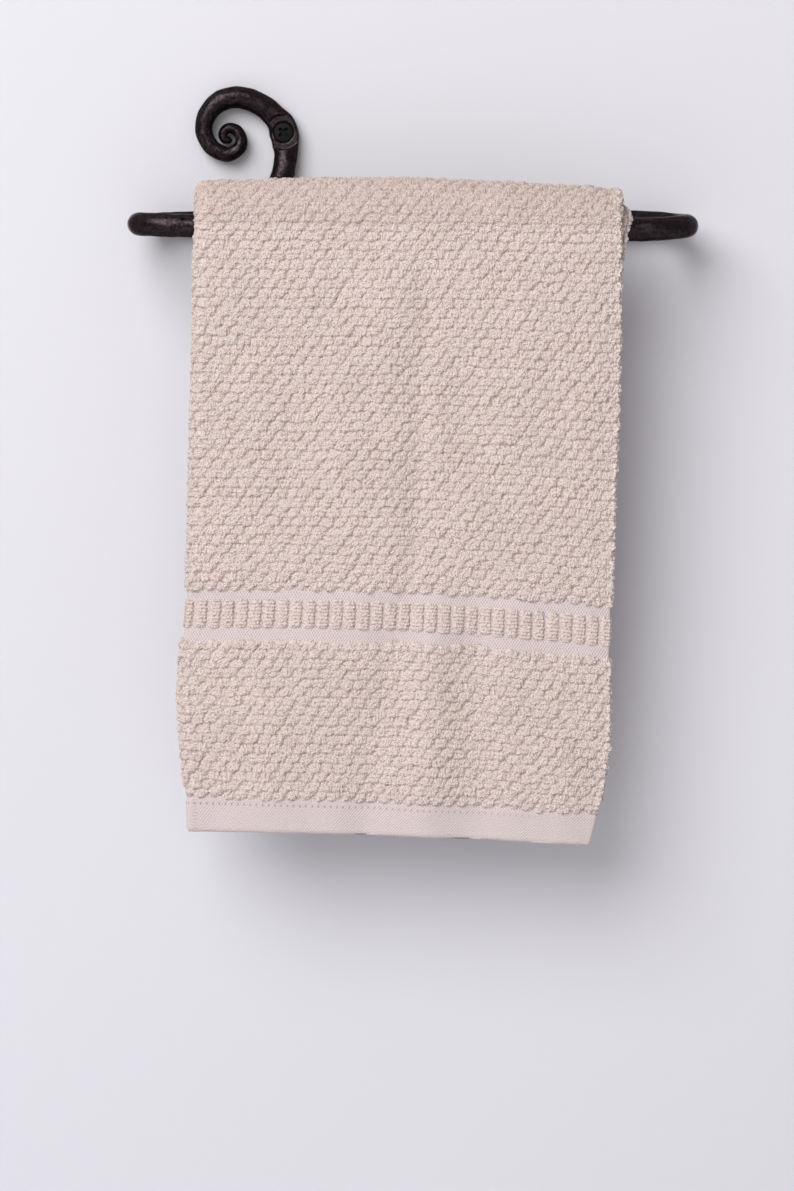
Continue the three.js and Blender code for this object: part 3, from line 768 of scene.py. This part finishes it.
# the hung folds; one with a height below 0 is a hollow
foldColumns = ("topX", "topZ", "footX", "footZ", "halfWidth", "height")
frontFolds = [
    (52, -66, 43, -206, 25, 2.0),
    (69, -84, 62, -206, 6.5, -1.7),
    (-10, -66, 8, -106, 9, -0.8),
    (118, -70, 112, -200, 22, 1.0),
    (4, -246, -4, -322, 30, 1.5),
    (53, -250, 40, -322, 9, -1.8),
    (73, -244, 68, -326, 10, 2.0),
    (92, -238, 94, -326, 9, -1.8),
]
backFolds = [
    (20, -70, 30, -230, 26, 1.4),
    (96, -90, 88, -300, 16, -1.2),
    (128, -150, 132, -306, 14, 1.0),
]
slack = {"waves": 9, "shortest": 16.0, "longest": 48.0, "slant": 0.9, "steepness": 0.0035}


def foldHeight(folds, x, z):
    # each fold is a bell across its line, fading past its two ends
    fading = 3.5
    height = np.zeros(np.broadcast(x, z).shape)
    for row in folds:
        fold = dict(zip(foldColumns, row))
        along = (fold["topZ"] - z) / (fold["topZ"] - fold["footZ"])
        inside = np.clip(along, 0.0, 1.0)
        lineX = fold["topX"] + (fold["footX"] - fold["topX"]) * inside
        across = (x - lineX) / fold["halfWidth"]
        past = (along - inside) * fading
        height = height + fold["height"] * np.exp(-across ** 2 - past ** 2)
    return height


def softWaves(x, z, seed):
    # sum of a few long slanted sine waves: the slack of hanging terry
    rng = np.random.default_rng(seed)
    height = np.zeros(np.broadcast(x, z).shape)
    for _ in range(slack["waves"]):
        wavelength = rng.uniform(slack["shortest"], slack["longest"])
        slant = rng.uniform(-slack["slant"], slack["slant"])
        phase = rng.uniform(0.0, 2.0 * math.pi)
        place = x * math.cos(slant) + z * math.sin(slant)
        size = slack["steepness"] * wavelength
        height = height + size * np.sin(2 * math.pi * place / wavelength + phase)
    return height


def rowPlace(w):
    # cloth coordinate along the towel: below 0 the front panel, then over the bar, then the back panel
    turn = np.clip(w / towel["archLength"], 0.0, 1.0) * math.pi
    z = towel["topZ"] + np.minimum(w, 0.0) - np.maximum(w - towel["archLength"], 0.0)
    return turn, z


def alongCloth(w):
    # length along the outer face: over the bar it is longer than the cloth's own coordinate
    return w + towel["crownStretch"] * np.clip(w, 0.0, towel["archLength"])


def frontRow(name):
    # cloth coordinate of a named row on the front panel
    return rowsAt[name] - towel["topZ"]


def backRow(name):
    # and of the same row on the back panel
    return towel["archLength"] + (towel["topZ"] - (rowsAt[name] + rowsAt["backRise"]))


def clothPoint(w, x, standOff, layer):
    # a point of the cloth: radius about the bar's axis on the turn, distance from its plane on the panels;
    # a row follows the bar's slope at the top and its own slope and curve further down
    turn, z = rowPlace(w)
    drop = towel["topZ"] - z
    share = (x - bar["leftBendX"]) / (bar["rightBendX"] - bar["leftBendX"])
    axisFall = bar["frontZ"][0] + (bar["frontZ"][1] - bar["frontZ"][0]) * share - towel["topZ"]
    aside = (x - towel["midX"]) / towel["halfSpan"]
    panelFall = tableAt(rowFall, "slope", z) * aside + tableAt(rowFall, "curve", z) * aside ** 2
    onPanel = smoothStep(0.0, towel["slopeBlend"], drop)
    fall = axisFall * (1.0 - onPanel) + panelFall * onPanel
    crown = (x - frontEdges["left"][0]) / (frontEdges["outerRight"][0] - frontEdges["left"][0])
    lift = np.interp(crown, crownLift["across"], crownLift["lift"])
    lift = lift * smoothStep(0.0, 0.6, layer) * np.sin(turn) ** 1.3
    below = np.clip(drop / towel["reliefBlend"], 0.0, 1.0)
    isFront = w < 0.5 * towel["archLength"]
    relief = np.where(isFront, foldHeight(frontFolds, x, z), foldHeight(backFolds, x, z))
    waves = np.where(isFront, softWaves(x, z, seeds["frontSlack"]), softWaves(x, z, seeds["backSlack"]))
    reach, fromDrop, toDrop = towel["leanIn"]
    leant = reach * smoothStep(fromDrop, toDrop, -z)
    radius = rod / 2 + towel["clearance"] + standOff + lift + (relief + waves) * below - leant
    y = bar["frontY"] - radius * np.cos(turn)
    return np.stack([x + 0.0 * radius, y, z + fall + radius * np.sin(turn)], axis=-1)


def clothColumns(faceSteps, turnSteps, tipSteps, edgeSteps=12, hiddenSteps=9, edgeShare=0.035, innerTurn=9):
    # columns round the doubled cloth: outer face, fold, bar side, edge, and back through the inside
    # frac: place from the fold (0) to the edge (1); turnX, mid: centre; nx, nOff: way the surface faces
    # layer: 1 outer, 0 inner; face: 1 on the faces inside the doubled cloth
    # pattern: length along the surface from the fold's end, so that the weave is never stretched
    names = ("frac", "turnX", "mid", "nx", "nOff", "layer", "pattern", "face")
    half = towel["layerSpacing"] / 2
    innerMid, outerMid = towel["pileReach"], towel["pileReach"] + towel["layerSpacing"]
    width = towel["width"]
    outerArc = math.pi * (half + towel["edgeInset"])
    innerArc, tipArc = math.pi * towel["foldInside"], math.pi * towel["tipRadius"]
    stretches = []

    def add(*values):
        stretches.append(np.stack(np.broadcast_arrays(*values), axis=1))

    def squared(value):
        return np.sign(value) * np.abs(value) ** towel["foldSquare"]

    def middle(layer, frac):
        # the two layers' edges lie closer together than their panels
        pinch = towel["edgePinch"] * smoothStep(towel["pinchFrom"], 1.0, frac)
        return outerMid - pinch if layer else innerMid + pinch

    def addFace(frac, layer, nOff, pattern, face):
        add(frac, 0.0, middle(layer, frac), 0.0, nOff, layer, pattern, face)

    def addFold(angles, side, arc, face):
        mid = (innerMid + outerMid) / 2 + half * squared(np.cos(angles))
        layer = (1 + squared(np.cos(angles))) / 2
        add(0.0, -half * squared(np.sin(angles)), mid, -side * np.sin(angles), side * np.cos(angles),
            layer, -arc * angles / math.pi, face)

    def addTip(layer, pattern):
        add(1.0, 0.0, middle(layer, 1.0), squared(np.cos(tip)), squared(np.sin(tip)), layer, pattern, 0.0)

    shown = np.linspace(1.0, 0.0, faceSteps)
    unseen = np.linspace(0.0, 1.0 - edgeShare, hiddenSteps, endpoint=False)
    unseen = np.concatenate([unseen, np.linspace(1.0 - edgeShare, 1.0, edgeSteps)])
    returning = unseen[::-1]
    tip = np.linspace(-math.pi / 2, math.pi / 2, tipSteps + 2)[1:-1]
    addFace(shown, 1.0, 1.0, shown * width, 0.0)
    addFold(np.linspace(0.0, math.pi, turnSteps + 2)[1:-1], 1.0, outerArc, 0.0)
    addFace(unseen, 0.0, -1.0, -outerArc - unseen * width, 0.0)
    addTip(0.0, -outerArc - width - tipArc * (tip / math.pi + 0.5))
    addFace(returning, 0.0, 1.0, -innerArc - returning * width, 1.0)
    addFold(np.linspace(math.pi, 0.0, innerTurn + 2)[1:-1], -1.0, innerArc, 1.0)
    addFace(unseen, 1.0, -1.0, unseen * width, 1.0)
    addTip(1.0, width + tipArc * (0.5 - tip / math.pi))
    table = np.vstack(stretches)
    return {name: table[:, i][None, :] for i, name in enumerate(names)}


def clothSurface(w, columns, height):
    # place of every grid point: the layer's centre plus the height along the way its face looks;
    # the inner layer's edge bulges below the bar and is tucked in over it
    turn, z = rowPlace(w)
    isFront = w < 0.5 * towel["archLength"]

    def edge(name):
        return np.where(isFront, tableAt(frontEdges, name, z), tableAt(backEdges, name, z))

    fromTop = -z - np.where(isFront, 0.0, rowsAt["backRise"])
    inHem = smoothStep(-rowsAt["hemTop"] - 1.0, -rowsAt["hemTop"] + 1.5, fromTop)
    foldX = edge("left") + towel["pileReach"] + towel["layerSpacing"] / 2 - towel["hemFoldIn"] * inHem
    right = edge("innerRight") + (edge("outerRight") - edge("innerRight")) * columns["layer"]
    right = right - towel["edgeInset"] + towel["hemEdgeOut"] * inHem
    bulge = innerBulge["size"] * np.exp(-((w - innerBulge["place"]) / innerBulge["spread"]) ** 2)
    right = right + (1.0 - columns["layer"]) * (bulge - innerBulge["tuck"] * np.sin(turn) ** 6)
    x = foldX + columns["turnX"] + columns["frac"] * (right - foldX) + columns["nx"] * height
    standOff = columns["mid"] + columns["nOff"] * height
    return clothPoint(w, x, standOff, columns["layer"])


def clothUv(w, columns):
    # pattern coordinates in metres, so that a scale is a count for each metre
    across = (columns["pattern"] + 0.0 * w) * mm
    return np.stack([across, (alongCloth(w) + 0.0 * columns["pattern"]) * mm], axis=-1)


def terryPiece(name, w, columns, height, paintedShade, material):
    # a stretch of the doubled cloth as one tube of quads, with its painted shade, material and body
    piece = meshFrom(name, clothSurface(w, columns, height), flip=True, uv=clothUv(w, columns),
                     values={"paintedShade": paintedShade})
    piece.data.materials.append(material)
    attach(piece, bodyName)
    print(name, "made:", len(piece.data.polygons) * 2, "triangles")
    return piece


# Most that a face may rise over its layer's middle

room = {
    "inside": 2.95,       # on the faces towards the other layer
    "pinched": 0.95,      # less of that where the two edges are pinched together
    "roundEdge": 1.2,     # more of it on the way round the edge
    "bar": 2.9,           # on the face towards the bar
    "barEdge": 0.8,
    "tightFold": 2.6,
    "free": 9.0,
}


def insideLimit(columns):
    # keeps the faces between the two layers apart
    pinch = smoothStep(towel["pinchFrom"], 1.0, columns["frac"])
    towards = np.where(columns["layer"] > 0.5, -columns["nOff"], columns["nOff"]) > 0.0
    limit = room["inside"] - room["pinched"] * pinch + room["roundEdge"] * np.clip(columns["nx"], 0.0, 1.0)
    elsewhere = np.where(columns["face"] > 0.5, room["inside"], room["free"])
    return np.where(towards & (columns["frac"] > 0.0), limit, elsewhere)


def pileLimit(columns):
    # the least of that limit, the one towards the bar and the one in the hollow of the fold
    atBar = columns["nOff"] * (columns["layer"] < 0.5) < 0
    barLimit = room["bar"] + room["barEdge"] * np.clip(columns["nx"], 0.0, 1.0)
    tightFold = (columns["turnX"] < 0) & (columns["face"] > 0.5)
    limit = np.minimum(insideLimit(columns), np.where(atBar, barLimit, room["free"]))
    return np.minimum(limit, np.where(tightFold, room["tightFold"], room["free"]))


# The pile: popcorn cells of loops

pileCells = {"pitch": 6.45, "rowPitch": 4.5, "shakeX": 0.12, "shakeY": 0.18, "lean": 0.15, "square": 1.55}
pileLoops = {"pitch": 1.5, "rowPitch": 2.25, "shakeX": 0.32, "shakeY": 0.23, "lean": 0.0, "square": 2.0}
pile = {
    "floor": 1.45,        # from the layer's middle to the bottom of a crease
    "dome": 0.90,         # rise of a popcorn cell over its edge
    "domeShake": 0.2,     # how much that rise varies
    "foldOpening": 0.6,   # how much further cells stand out on the fold
    "crownOpening": 0.9,  # and over the bar
    "overhang": 0.38,     # a cell stands higher at its lower right
    "loop": 0.27,
    "edgeLoop": 0.8,      # how much larger the edge's own loops are
    "edgeFrom": 0.985,    # share of the width where they start
    # least tone of the edge's own loops: painted light where the edge lies in shade
    "edgeLight": 0.8,
    "ownPlace": 0.44,     # how far a loop's own centre decides which cell it belongs to
    "wander": 0.4,        # how far the weave strays from its grid
    "paintedShade": 0.78,       # how dark the painted shadow in the gap between cells is at a cell's upper left
    "rightCrease": 0.7,   # share of that at its lower right
    "creaseShake": 0.45,
    "rowShade": 0.18,      # painted shade under a row of loops, beneath the row above
    "loopShade": 0.36,     # and painted shade round each loop
    "crownShade": 0.30,    # painted shade over the bar, whose top faces the lamp
    "endRound": 1.2,      # drop of the last cells at a flat stripe
    "overrun": 1.4,       # how far a piece runs on inside the ground cloth
    "innerShift": 400.0,  # gives the inside faces cells of their own
}


def softened(value):
    # each value with its neighbours along and across the cloth, weighted 1 2 1
    padded = np.vstack([value[:1], value, value[-1:]])
    value = 0.25 * padded[:-2] + 0.5 * padded[1:-1] + 0.25 * padded[2:]
    return 0.25 * np.roll(value, 1, axis=1) + 0.5 * value + 0.25 * np.roll(value, -1, axis=1)


def strayed(across, along):
    # slow and quicker bends of the weave, so that rows and columns are never quite straight
    bendX = np.sin(along / 23.0 + 1.3) + 0.7 * np.sin(along / 9.1 + across / 31.0)
    bendX = bendX + 0.5 * np.sin(across / 13.7)
    bendY = np.sin(across / 27.0 + 0.4) + 0.7 * np.sin(across / 11.3 + along / 37.0)
    bendY = bendY + 0.4 * np.sin(along / 12.1)
    bendY = bendY + np.sin(across / 3.4 + along / 7.9) + 0.6 * np.sin(across / 2.1 - along / 5.3)
    return across + pile["wander"] * bendX, along + pile["wander"] * 0.7 * bendY


def pileFields(w, columns, rowMap):
    # the loops, and the cells that they belong to: a loop pulls the cells' outlines towards its centre
    flatAcross = columns["pattern"] + 0.0 * w + pile["innerShift"] * columns["face"]
    across, along = strayed(flatAcross, alongCloth(w) * rowMap[0] + rowMap[1] + 0.0 * flatAcross)
    halfRow = 0.5 * pileLoops["rowPitch"]
    loops = cellField(across, along + halfRow, pileLoops, seeds["loops"])
    own = pile["ownPlace"]
    loopX = own * loops["centreX"] + (1.0 - own) * across
    loopY = own * (loops["centreY"] - halfRow) + (1.0 - own) * along
    cells = cellField(loopX, loopY, pileCells, seeds["cells"])
    cells["near"] = np.clip(cells["near"], 0.0, 1.25)
    cells["lean"] = 0.62 * cells["offX"] - 0.76 * cells["offY"]
    return loops, cells


def pileHeight(w, columns, loops, cells):
    # domes that rise to their lower right, softened, under knobs of loops; where the cloth bends the
    # cells open, so that they stand out further
    dome = np.sqrt(np.clip(1.0 - (cells["near"] / 1.3) ** 2.4, 0.0, 1.0))
    turn, _ = rowPlace(w)
    fold = np.clip(-columns["turnX"] / (0.5 * towel["layerSpacing"]), 0.0, 1.0)
    opened = 1.0 + np.maximum(pile["foldOpening"] * fold, pile["crownOpening"] * np.sin(turn))
    varied = 1.0 + pile["domeShake"] * cells["numbers"][..., 4]
    body = pile["dome"] * varied * opened * dome + pile["overhang"] * cells["lean"]
    knob = 0.7 - 1.2 * loops["near"] ** 2 + 0.55 * loops["numbers"][..., 2] - 0.35 * loops["offY"]
    knob = knob * (1.0 + pile["edgeLoop"] * (columns["frac"] > pile["edgeFrom"]))
    return pile["floor"] + 0.4 * body + 0.6 * softened(body) + pile["loop"] * knob


def paintedPileShade(w, columns, loops, cells):
    # painted shade on the yarn: warm and dark in the creases beside a cell, where its neighbour shades it,
    # and a little darker under each row of loops, round each loop and over the bar
    gap = 1.0 - smoothStep(0.05, 0.45, cells["gap"])
    sided = np.where(cells["lean"] > 0.0, pile["rightCrease"], 1.0)
    depth = pile["paintedShade"] * sided * (1.0 + pile["creaseShake"] * cells["numbers"][..., 3])
    # painted shadow of the neighbouring cell in the gap, deeper at a cell's upper left
    tone = 1.02 - depth * gap * smoothStep(0.15, 0.80, np.abs(cells["lean"]))
    # painted shade under each row of loops, more towards the cell's right
    rowShade = smoothStep(0.45, 1.0, -loops["offY"]) * np.clip(0.55 + 0.45 * cells["offX"], 0.0, 1.0)
    tone = 0.5 * tone + 0.5 * softened(tone) - pile["rowShade"] * rowShade
    # painted shade round each loop, lighter at its middle
    tone = tone + pile["loopShade"] * (0.4 - loops["near"])
    # painted light on the edge's own loops, so that the shaded edge stays light
    tone = np.where(columns["frac"] > pile["edgeFrom"], np.maximum(tone, pile["edgeLight"]), tone)
    turn, _ = rowPlace(w)
    # painted shade over the bar, strongest at its top, which faces the lamp
    return np.clip(tone, 0.0, 1.0) * (1.0 - pile["crownShade"] * np.sin(turn) ** 0.8)


def endedAt(limits, rowMap, height, cells):
    # at a flat stripe the last whole row of cells is rounded off, and past it the face is hidden
    kept = np.ones(height.shape, dtype=bool)
    row = np.round(cells["centreY"] / pileCells["rowPitch"])
    for limit, side in zip(limits, (-1.0, 1.0)):
        if limit is not None:
            place = (alongCloth(limit) * rowMap[0] + rowMap[1]) / pileCells["rowPitch"]
            last = side * np.floor(side * place + 0.01)
            kept &= side * row <= side * last
            outwards = smoothStep(0.0, 0.5, side * cells["offY"]) * (row == last)
            height = height - pile["endRound"] * smoothStep(0.5, 1.05, cells["near"]) * outwards
    return np.where(kept, height, towel["groundHalf"] - towel["hidden"])


def makePile(name, wStart, wEnd, step, columns, stripes=(False, False), rowMap=(1.0, 0.15)):
    # one stretch of pile; stripes says which of its ends meets a flat stripe, where it runs on hidden,
    # and rowMap stretches and shifts the rows of cells, so that whole ones fit between two stripes
    wLow = wStart - pile["overrun"] if stripes[0] else wStart
    wHigh = wEnd + pile["overrun"] if stripes[1] else wEnd
    limits = (wStart if stripes[0] else None, wEnd if stripes[1] else None)
    w = rowsBetween(wLow, wHigh, step)
    # one row more at either end, so that softening meets the next stretch at the same height
    longer = np.vstack([2.0 * w[:1] - w[1:2], w, 2.0 * w[-1:] - w[-2:-1]])
    loops, cells = pileFields(longer, columns, rowMap)
    height = endedAt(limits, rowMap, pileHeight(longer, columns, loops, cells), cells)[1:-1]
    tone = paintedPileShade(longer, columns, loops, cells)[1:-1]
    return terryPiece(name, w, columns, np.minimum(height, pileLimit(columns)), tone, pileMaterial)


arch = towel["archLength"]
fineColumns = clothColumns(faceSteps=396, turnSteps=28, tipSteps=12)
coarseColumns = clothColumns(faceSteps=166, turnSteps=12, tipSteps=6)
pilePieces = [
    makePile("pileFoot", frontRow("hemTop"), frontRow("lowStripe"), 0.5, fineColumns, (True, True),
             (0.981, -7.367)),
    makePile("pileLower", frontRow("highStripe"), frontRow("middle"), 0.5, fineColumns, (True, False)),
    makePile("pileUpper", frontRow("middle"), 0.0, 0.5, fineColumns),
    makePile("pileCrown", 0.0, arch, 0.4, fineColumns),
    makePile("pileBack", arch, backRow("highStripe"), 1.2, coarseColumns, (False, True)),
    makePile("pileBackFoot", backRow("lowStripe"), backRow("hemTop"), 1.2, coarseColumns, (True, True),
             (0.98077, 4.178)),
]


# The ribbed border: bars of loops standing on the ground cloth

ribs = {
    "pitch": 6.45,
    "share": 0.98,        # width of a bar against the pitch
    "rise": 1.10,
    "overhang": 0.20,
    "loop": 0.20,
    "rung": 0.30,         # depth of the lines between its rows of loops
}
ribLoops = {"pitch": 1.20, "rowPitch": 1.66, "shakeX": 0.24, "shakeY": 0.08, "lean": 0.0, "square": 2.6}


def makeRibs(name, wStart, wEnd, step, columns):
    # each loop takes its height from the bar's rounded section at its own centre; every row of loops
    # hangs over the row below; between the bars the surface lies under the ground cloth
    w = rowsBetween(wStart, wEnd, step)
    across = columns["pattern"] + 0.0 * w
    along = w + 0.35 * np.sin(across / 7.0)
    loops = cellField(across, along, ribLoops, seeds["ribLoops"])
    loopX = 0.65 * loops["centreX"] + 0.35 * across
    number = np.floor(across / ribs["pitch"])
    tile = 173
    shakes = np.random.default_rng(seeds["ribs"]).uniform(-1.0, 1.0, (tile, 4))[number.astype(int) % tile]
    halfWidth = 0.5 * ribs["share"] * (1.0 + 0.05 * shakes[..., 1])
    inside = (loopX / ribs["pitch"] - number - 0.5) / halfWidth + 0.06 * shakes[..., 0]
    rightSide = np.sqrt(np.clip(1.0 - np.clip(inside, 0.0, 1.0) ** 6, 0.0, 1.0))
    section = smoothStep(-1.15, -0.20, inside) * rightSide
    rung = (0.5 - 0.5 * np.cos(2.0 * math.pi * (along / ribLoops["rowPitch"] + 0.5))) ** 2
    rung = (1.0 - rung) ** 2 * smoothStep(-0.55, 0.25, inside)
    ends = smoothStep(0.1, 0.9, w - wStart - 0.3 - 0.3 * shakes[..., 2] - 0.7 * inside ** 2)
    ends = ends * smoothStep(0.1, 0.9, wEnd - w - 0.3 - 0.3 * shakes[..., 3] - 0.5 * inside ** 2)
    solid = section * ends ** 0.6
    knob = ribs["loop"] * (0.8 - 1.2 * loops["near"] ** 2 + 0.4 * loops["numbers"][..., 2])
    rise = ribs["rise"] * (1.0 + 0.08 * shakes[..., 1] + 0.12 * inside) - ribs["overhang"] * loops["offY"]
    standing = rise + towel["hidden"] + knob - ribs["rung"] * rung
    height = towel["groundHalf"] - towel["hidden"] + solid * standing
    # painted shade: darker between the bars, in the rungs between rows, round each loop and on each bar's
    # right side
    paintedShade = 0.60 + 0.35 * solid - 0.30 * rung * solid + 0.22 * (0.6 - loops["near"]) * solid
    paintedShade = np.clip(paintedShade - 0.45 * smoothStep(0.72, 1.0, inside), 0.0, 1.0)
    return terryPiece(name, w, columns, np.minimum(height, insideLimit(columns)), paintedShade, ribMaterial)


ribColumns = clothColumns(faceSteps=500, turnSteps=34, tipSteps=12)
ribBackColumns = clothColumns(faceSteps=300, turnSteps=14, tipSteps=6)
ribPieces = [
    makeRibs("ribsFront", frontRow("ribFoot"), frontRow("ribTop"), 0.38, ribColumns),
    makeRibs("ribsBack", backRow("ribTop"), backRow("ribFoot"), 0.5, ribBackColumns),
]


# The ground cloth: one closed sheet from hem to hem, seen at the stripes and hems

ground = {
    "faceCount": 46,      # columns on each face of each layer
    "edgeCount": 8,       # those of them that crowd at the edge
    "edgeShare": 0.04,
    "turnCount": 12,
    "tipCount": 4,        # points of its own at a rounded edge; endQuads is made for four
    "hemRows": 14,
    "frontRows": 70,
    "archRows": 20,
    "backRows": 50,
    "rowStep": 0.8,       # of the rows where the hem's thickness ends
    "endRound": 0.9,
    "pucker": 0.14,       # height of the hem's small waves
}


def endQuads(count):
    # quads that close one end row: a strip from the outer face to the inner one, all round the doubled
    # cloth, and two quads with a shared middle at each rounded edge
    tip = ground["tipCount"]
    pairs = 2 * ground["faceCount"] + ground["turnCount"]
    near = np.arange(pairs)
    partner = pairs + tip + (pairs - 1 - near)
    strip = np.stack([near[:-1], near[1:], partner[1:], partner[:-1]], axis=-1)
    innerTip = np.arange(pairs - 1, pairs + tip + 1)
    outerTip = np.append(np.arange(2 * pairs + tip - 1, count), 0)
    tips = [[ring[[0, 1, 4, 5]], ring[[1, 2, 3, 4]]] for ring in (innerTip, outerTip)]
    return np.vstack([strip, np.array(tips).reshape(-1, 4)])


def makeGround():
    # half thickness is the hem's at both ends and the ground's between; both faces and both folds have
    # equal counts, so that each end can be closed face to face
    faceCount, edgeCount, turnCount = ground["faceCount"], ground["edgeCount"], ground["turnCount"]
    columns = clothColumns(faceCount, turnCount, ground["tipCount"], edgeCount, faceCount - edgeCount,
                           ground["edgeShare"], turnCount)
    step = ground["rowStep"]
    w = np.concatenate([
        np.linspace(frontRow("hem"), frontRow("hemTop") + step, ground["hemRows"]),
        np.linspace(frontRow("hemTop") + 2.0 * step, 0.0, ground["frontRows"]),
        np.linspace(0.0, arch, ground["archRows"])[1:],
        np.linspace(arch, backRow("hemTop") - 2.0 * step, ground["backRows"])[1:],
        np.linspace(backRow("hemTop") - step, backRow("hem"), ground["hemRows"]),
    ])[:, None]
    fromEnd = np.minimum(w - w[0], w[-1] - w)
    hemDepth = rowsAt["hemTop"] - rowsAt["hem"]
    thin = smoothStep(hemDepth - 0.5 * step, hemDepth + step, fromEnd)
    half = towel["hemHalf"] + (towel["groundHalf"] - towel["hemHalf"]) * thin
    half = half * np.sqrt(np.clip(fromEnd / ground["endRound"], 0.12, 1.0))
    pucker = ground["pucker"] * np.sin(columns["pattern"] * 1.15) * np.sin(columns["pattern"] * 0.31 + 1.0)
    inHem = 1.0 - smoothStep(hemDepth * 0.5, hemDepth, fromEnd)
    height = half + pucker * inHem * columns["nOff"] * (columns["face"] < 0.5)
    # the back hem's pattern is the front hem's, measured from its own end
    fromFrontHem = np.where(w < 0.5 * arch, w, w[0] + w[-1] - w)
    uv = np.stack([columns["pattern"] + 0.0 * w, fromFrontHem + 0.0 * columns["pattern"]], axis=-1) * mm
    count = columns["frac"].size
    ends = endQuads(count)
    caps = np.vstack([ends[:, ::-1], ends + (len(w) - 1) * count])
    piece = meshFrom("groundCloth", clothSurface(w, columns, height), flip=True, uv=uv, caps=caps)
    piece.data.materials.append(flatMaterial)
    return piece


groundCloth = makeGround()
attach(groundCloth, bodyName)
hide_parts("towel")
print("ground cloth made:", len(groundCloth.data.polygons) * 2, "triangles")


# Stage: a pale wall that is seen only from the front, and a pale floor

stage = {
    "wallColor": (0.622, 0.619, 0.660, 1.0),
    "floorColor": (0.70, 0.70, 0.72, 1.0),
    "rough": 0.8,
    "reach": 3.0,
    "top": 2.4,
    "wallY": 0.0005,
    "floorZ": -0.75,
    "floorFrontY": -4.0,
}


def makePlane(name, corners, color):
    # one painted face, as stage; returns its shader and node tree
    mesh = bpy.data.meshes.new(name)
    mesh.from_pydata(corners, [], [(0, 1, 2, 3)])
    mesh.update()
    piece = bpy.data.objects.new(name, mesh)
    bpy.context.scene.collection.objects.link(piece)
    material, tree, shader = newMaterial(name + "Paint")
    feedAll(tree, shader, {"Base Color": color, "Roughness": stage["rough"]})
    piece.data.materials.append(material)
    return tree, shader


def makeStage():
    reach, top, low = stage["reach"], stage["top"], stage["floorZ"]
    wallY, frontY = stage["wallY"], stage["floorFrontY"]
    tree, shader = makePlane("wallStage", [
        (-reach, wallY, low), (reach, wallY, low), (reach, wallY, top), (-reach, wallY, top),
    ], stage["wallColor"])
    makePlane("floorStage", [
        (-reach, frontY, low), (reach, frontY, low), (reach, reach, low), (-reach, reach, low),
    ], stage["floorColor"])
    # clear from behind, so that the part can be looked at from there
    paint, clear = shader.outputs[0], addNode(tree, "ShaderNodeBsdfTransparent")[0]
    behind = addNode(tree, "ShaderNodeNewGeometry")["Backfacing"]
    mixed = addNode(tree, "ShaderNodeMixShader", {0: behind, 1: paint, 2: clear})[0]
    feedAll(tree, tree.nodes["Material Output"], {"Surface": mixed})


makeStage()


# Light and camera

lights = {
    # name: place, aim, size, watts, colour
    "key": ((-1.02, -2.1, 1.28), (0.06, -0.06, -0.16), 2.2, 76.5, (0.99, 0.99, 0.99)),
    "fill": ((0.0, -3.2, 0.1), (0.06, -0.06, -0.16), 2.2, 10.0, (1.0, 0.98, 0.97)),
}
worldLight = {"Color": (1.0, 0.935, 0.925, 1.0), "Strength": 0.365}
view = {
    "target": (0.0556, -0.060, -0.2157),
    "distance": 1.390,
    "elevation": 5.0,
    "lens": 88.0,
    "sensor": 36.0,
}


def aimAt(item, target):
    # turns the item so that its own -Z points at the target
    away = np.array(target) - np.array(item.location)
    level = math.hypot(away[0], away[1])
    item.rotation_euler = (math.atan2(level, -away[2]), 0.0, math.atan2(-away[0], away[1]))


def makeLights():
    # round area lights, and a world of one colour
    for name, (place, target, size, watts, color) in lights.items():
        data = bpy.data.lights.new(name, "AREA")
        data.shape = "DISK"
        data.size = size
        data.energy = watts
        data.color = color
        lamp = bpy.data.objects.new(name, data)
        lamp.location = place
        aimAt(lamp, target)
        bpy.context.scene.collection.objects.link(lamp)
    world = bpy.data.worlds.new("studio")
    bpy.context.scene.world = world
    world.use_nodes = True
    feedAll(world.node_tree, world.node_tree.nodes["Background"], worldLight)


def makeCamera():
    # looks down at its target by the elevation, from straight in front
    data = bpy.data.cameras.new("view")
    data.lens = view["lens"]
    data.sensor_width = view["sensor"]
    camera = bpy.data.objects.new("view", data)
    pitch = math.radians(view["elevation"])
    x, y, z = view["target"]
    camera.location = (x, y - view["distance"] * math.cos(pitch), z + view["distance"] * math.sin(pitch))
    camera.rotation_euler = (math.pi / 2 - pitch, 0.0, 0.0)
    bpy.context.scene.collection.objects.link(camera)
    bpy.context.scene.camera = camera


makeLights()
makeCamera()
bpy.context.scene.view_settings.view_transform = "Standard"
print("lights and camera placed")
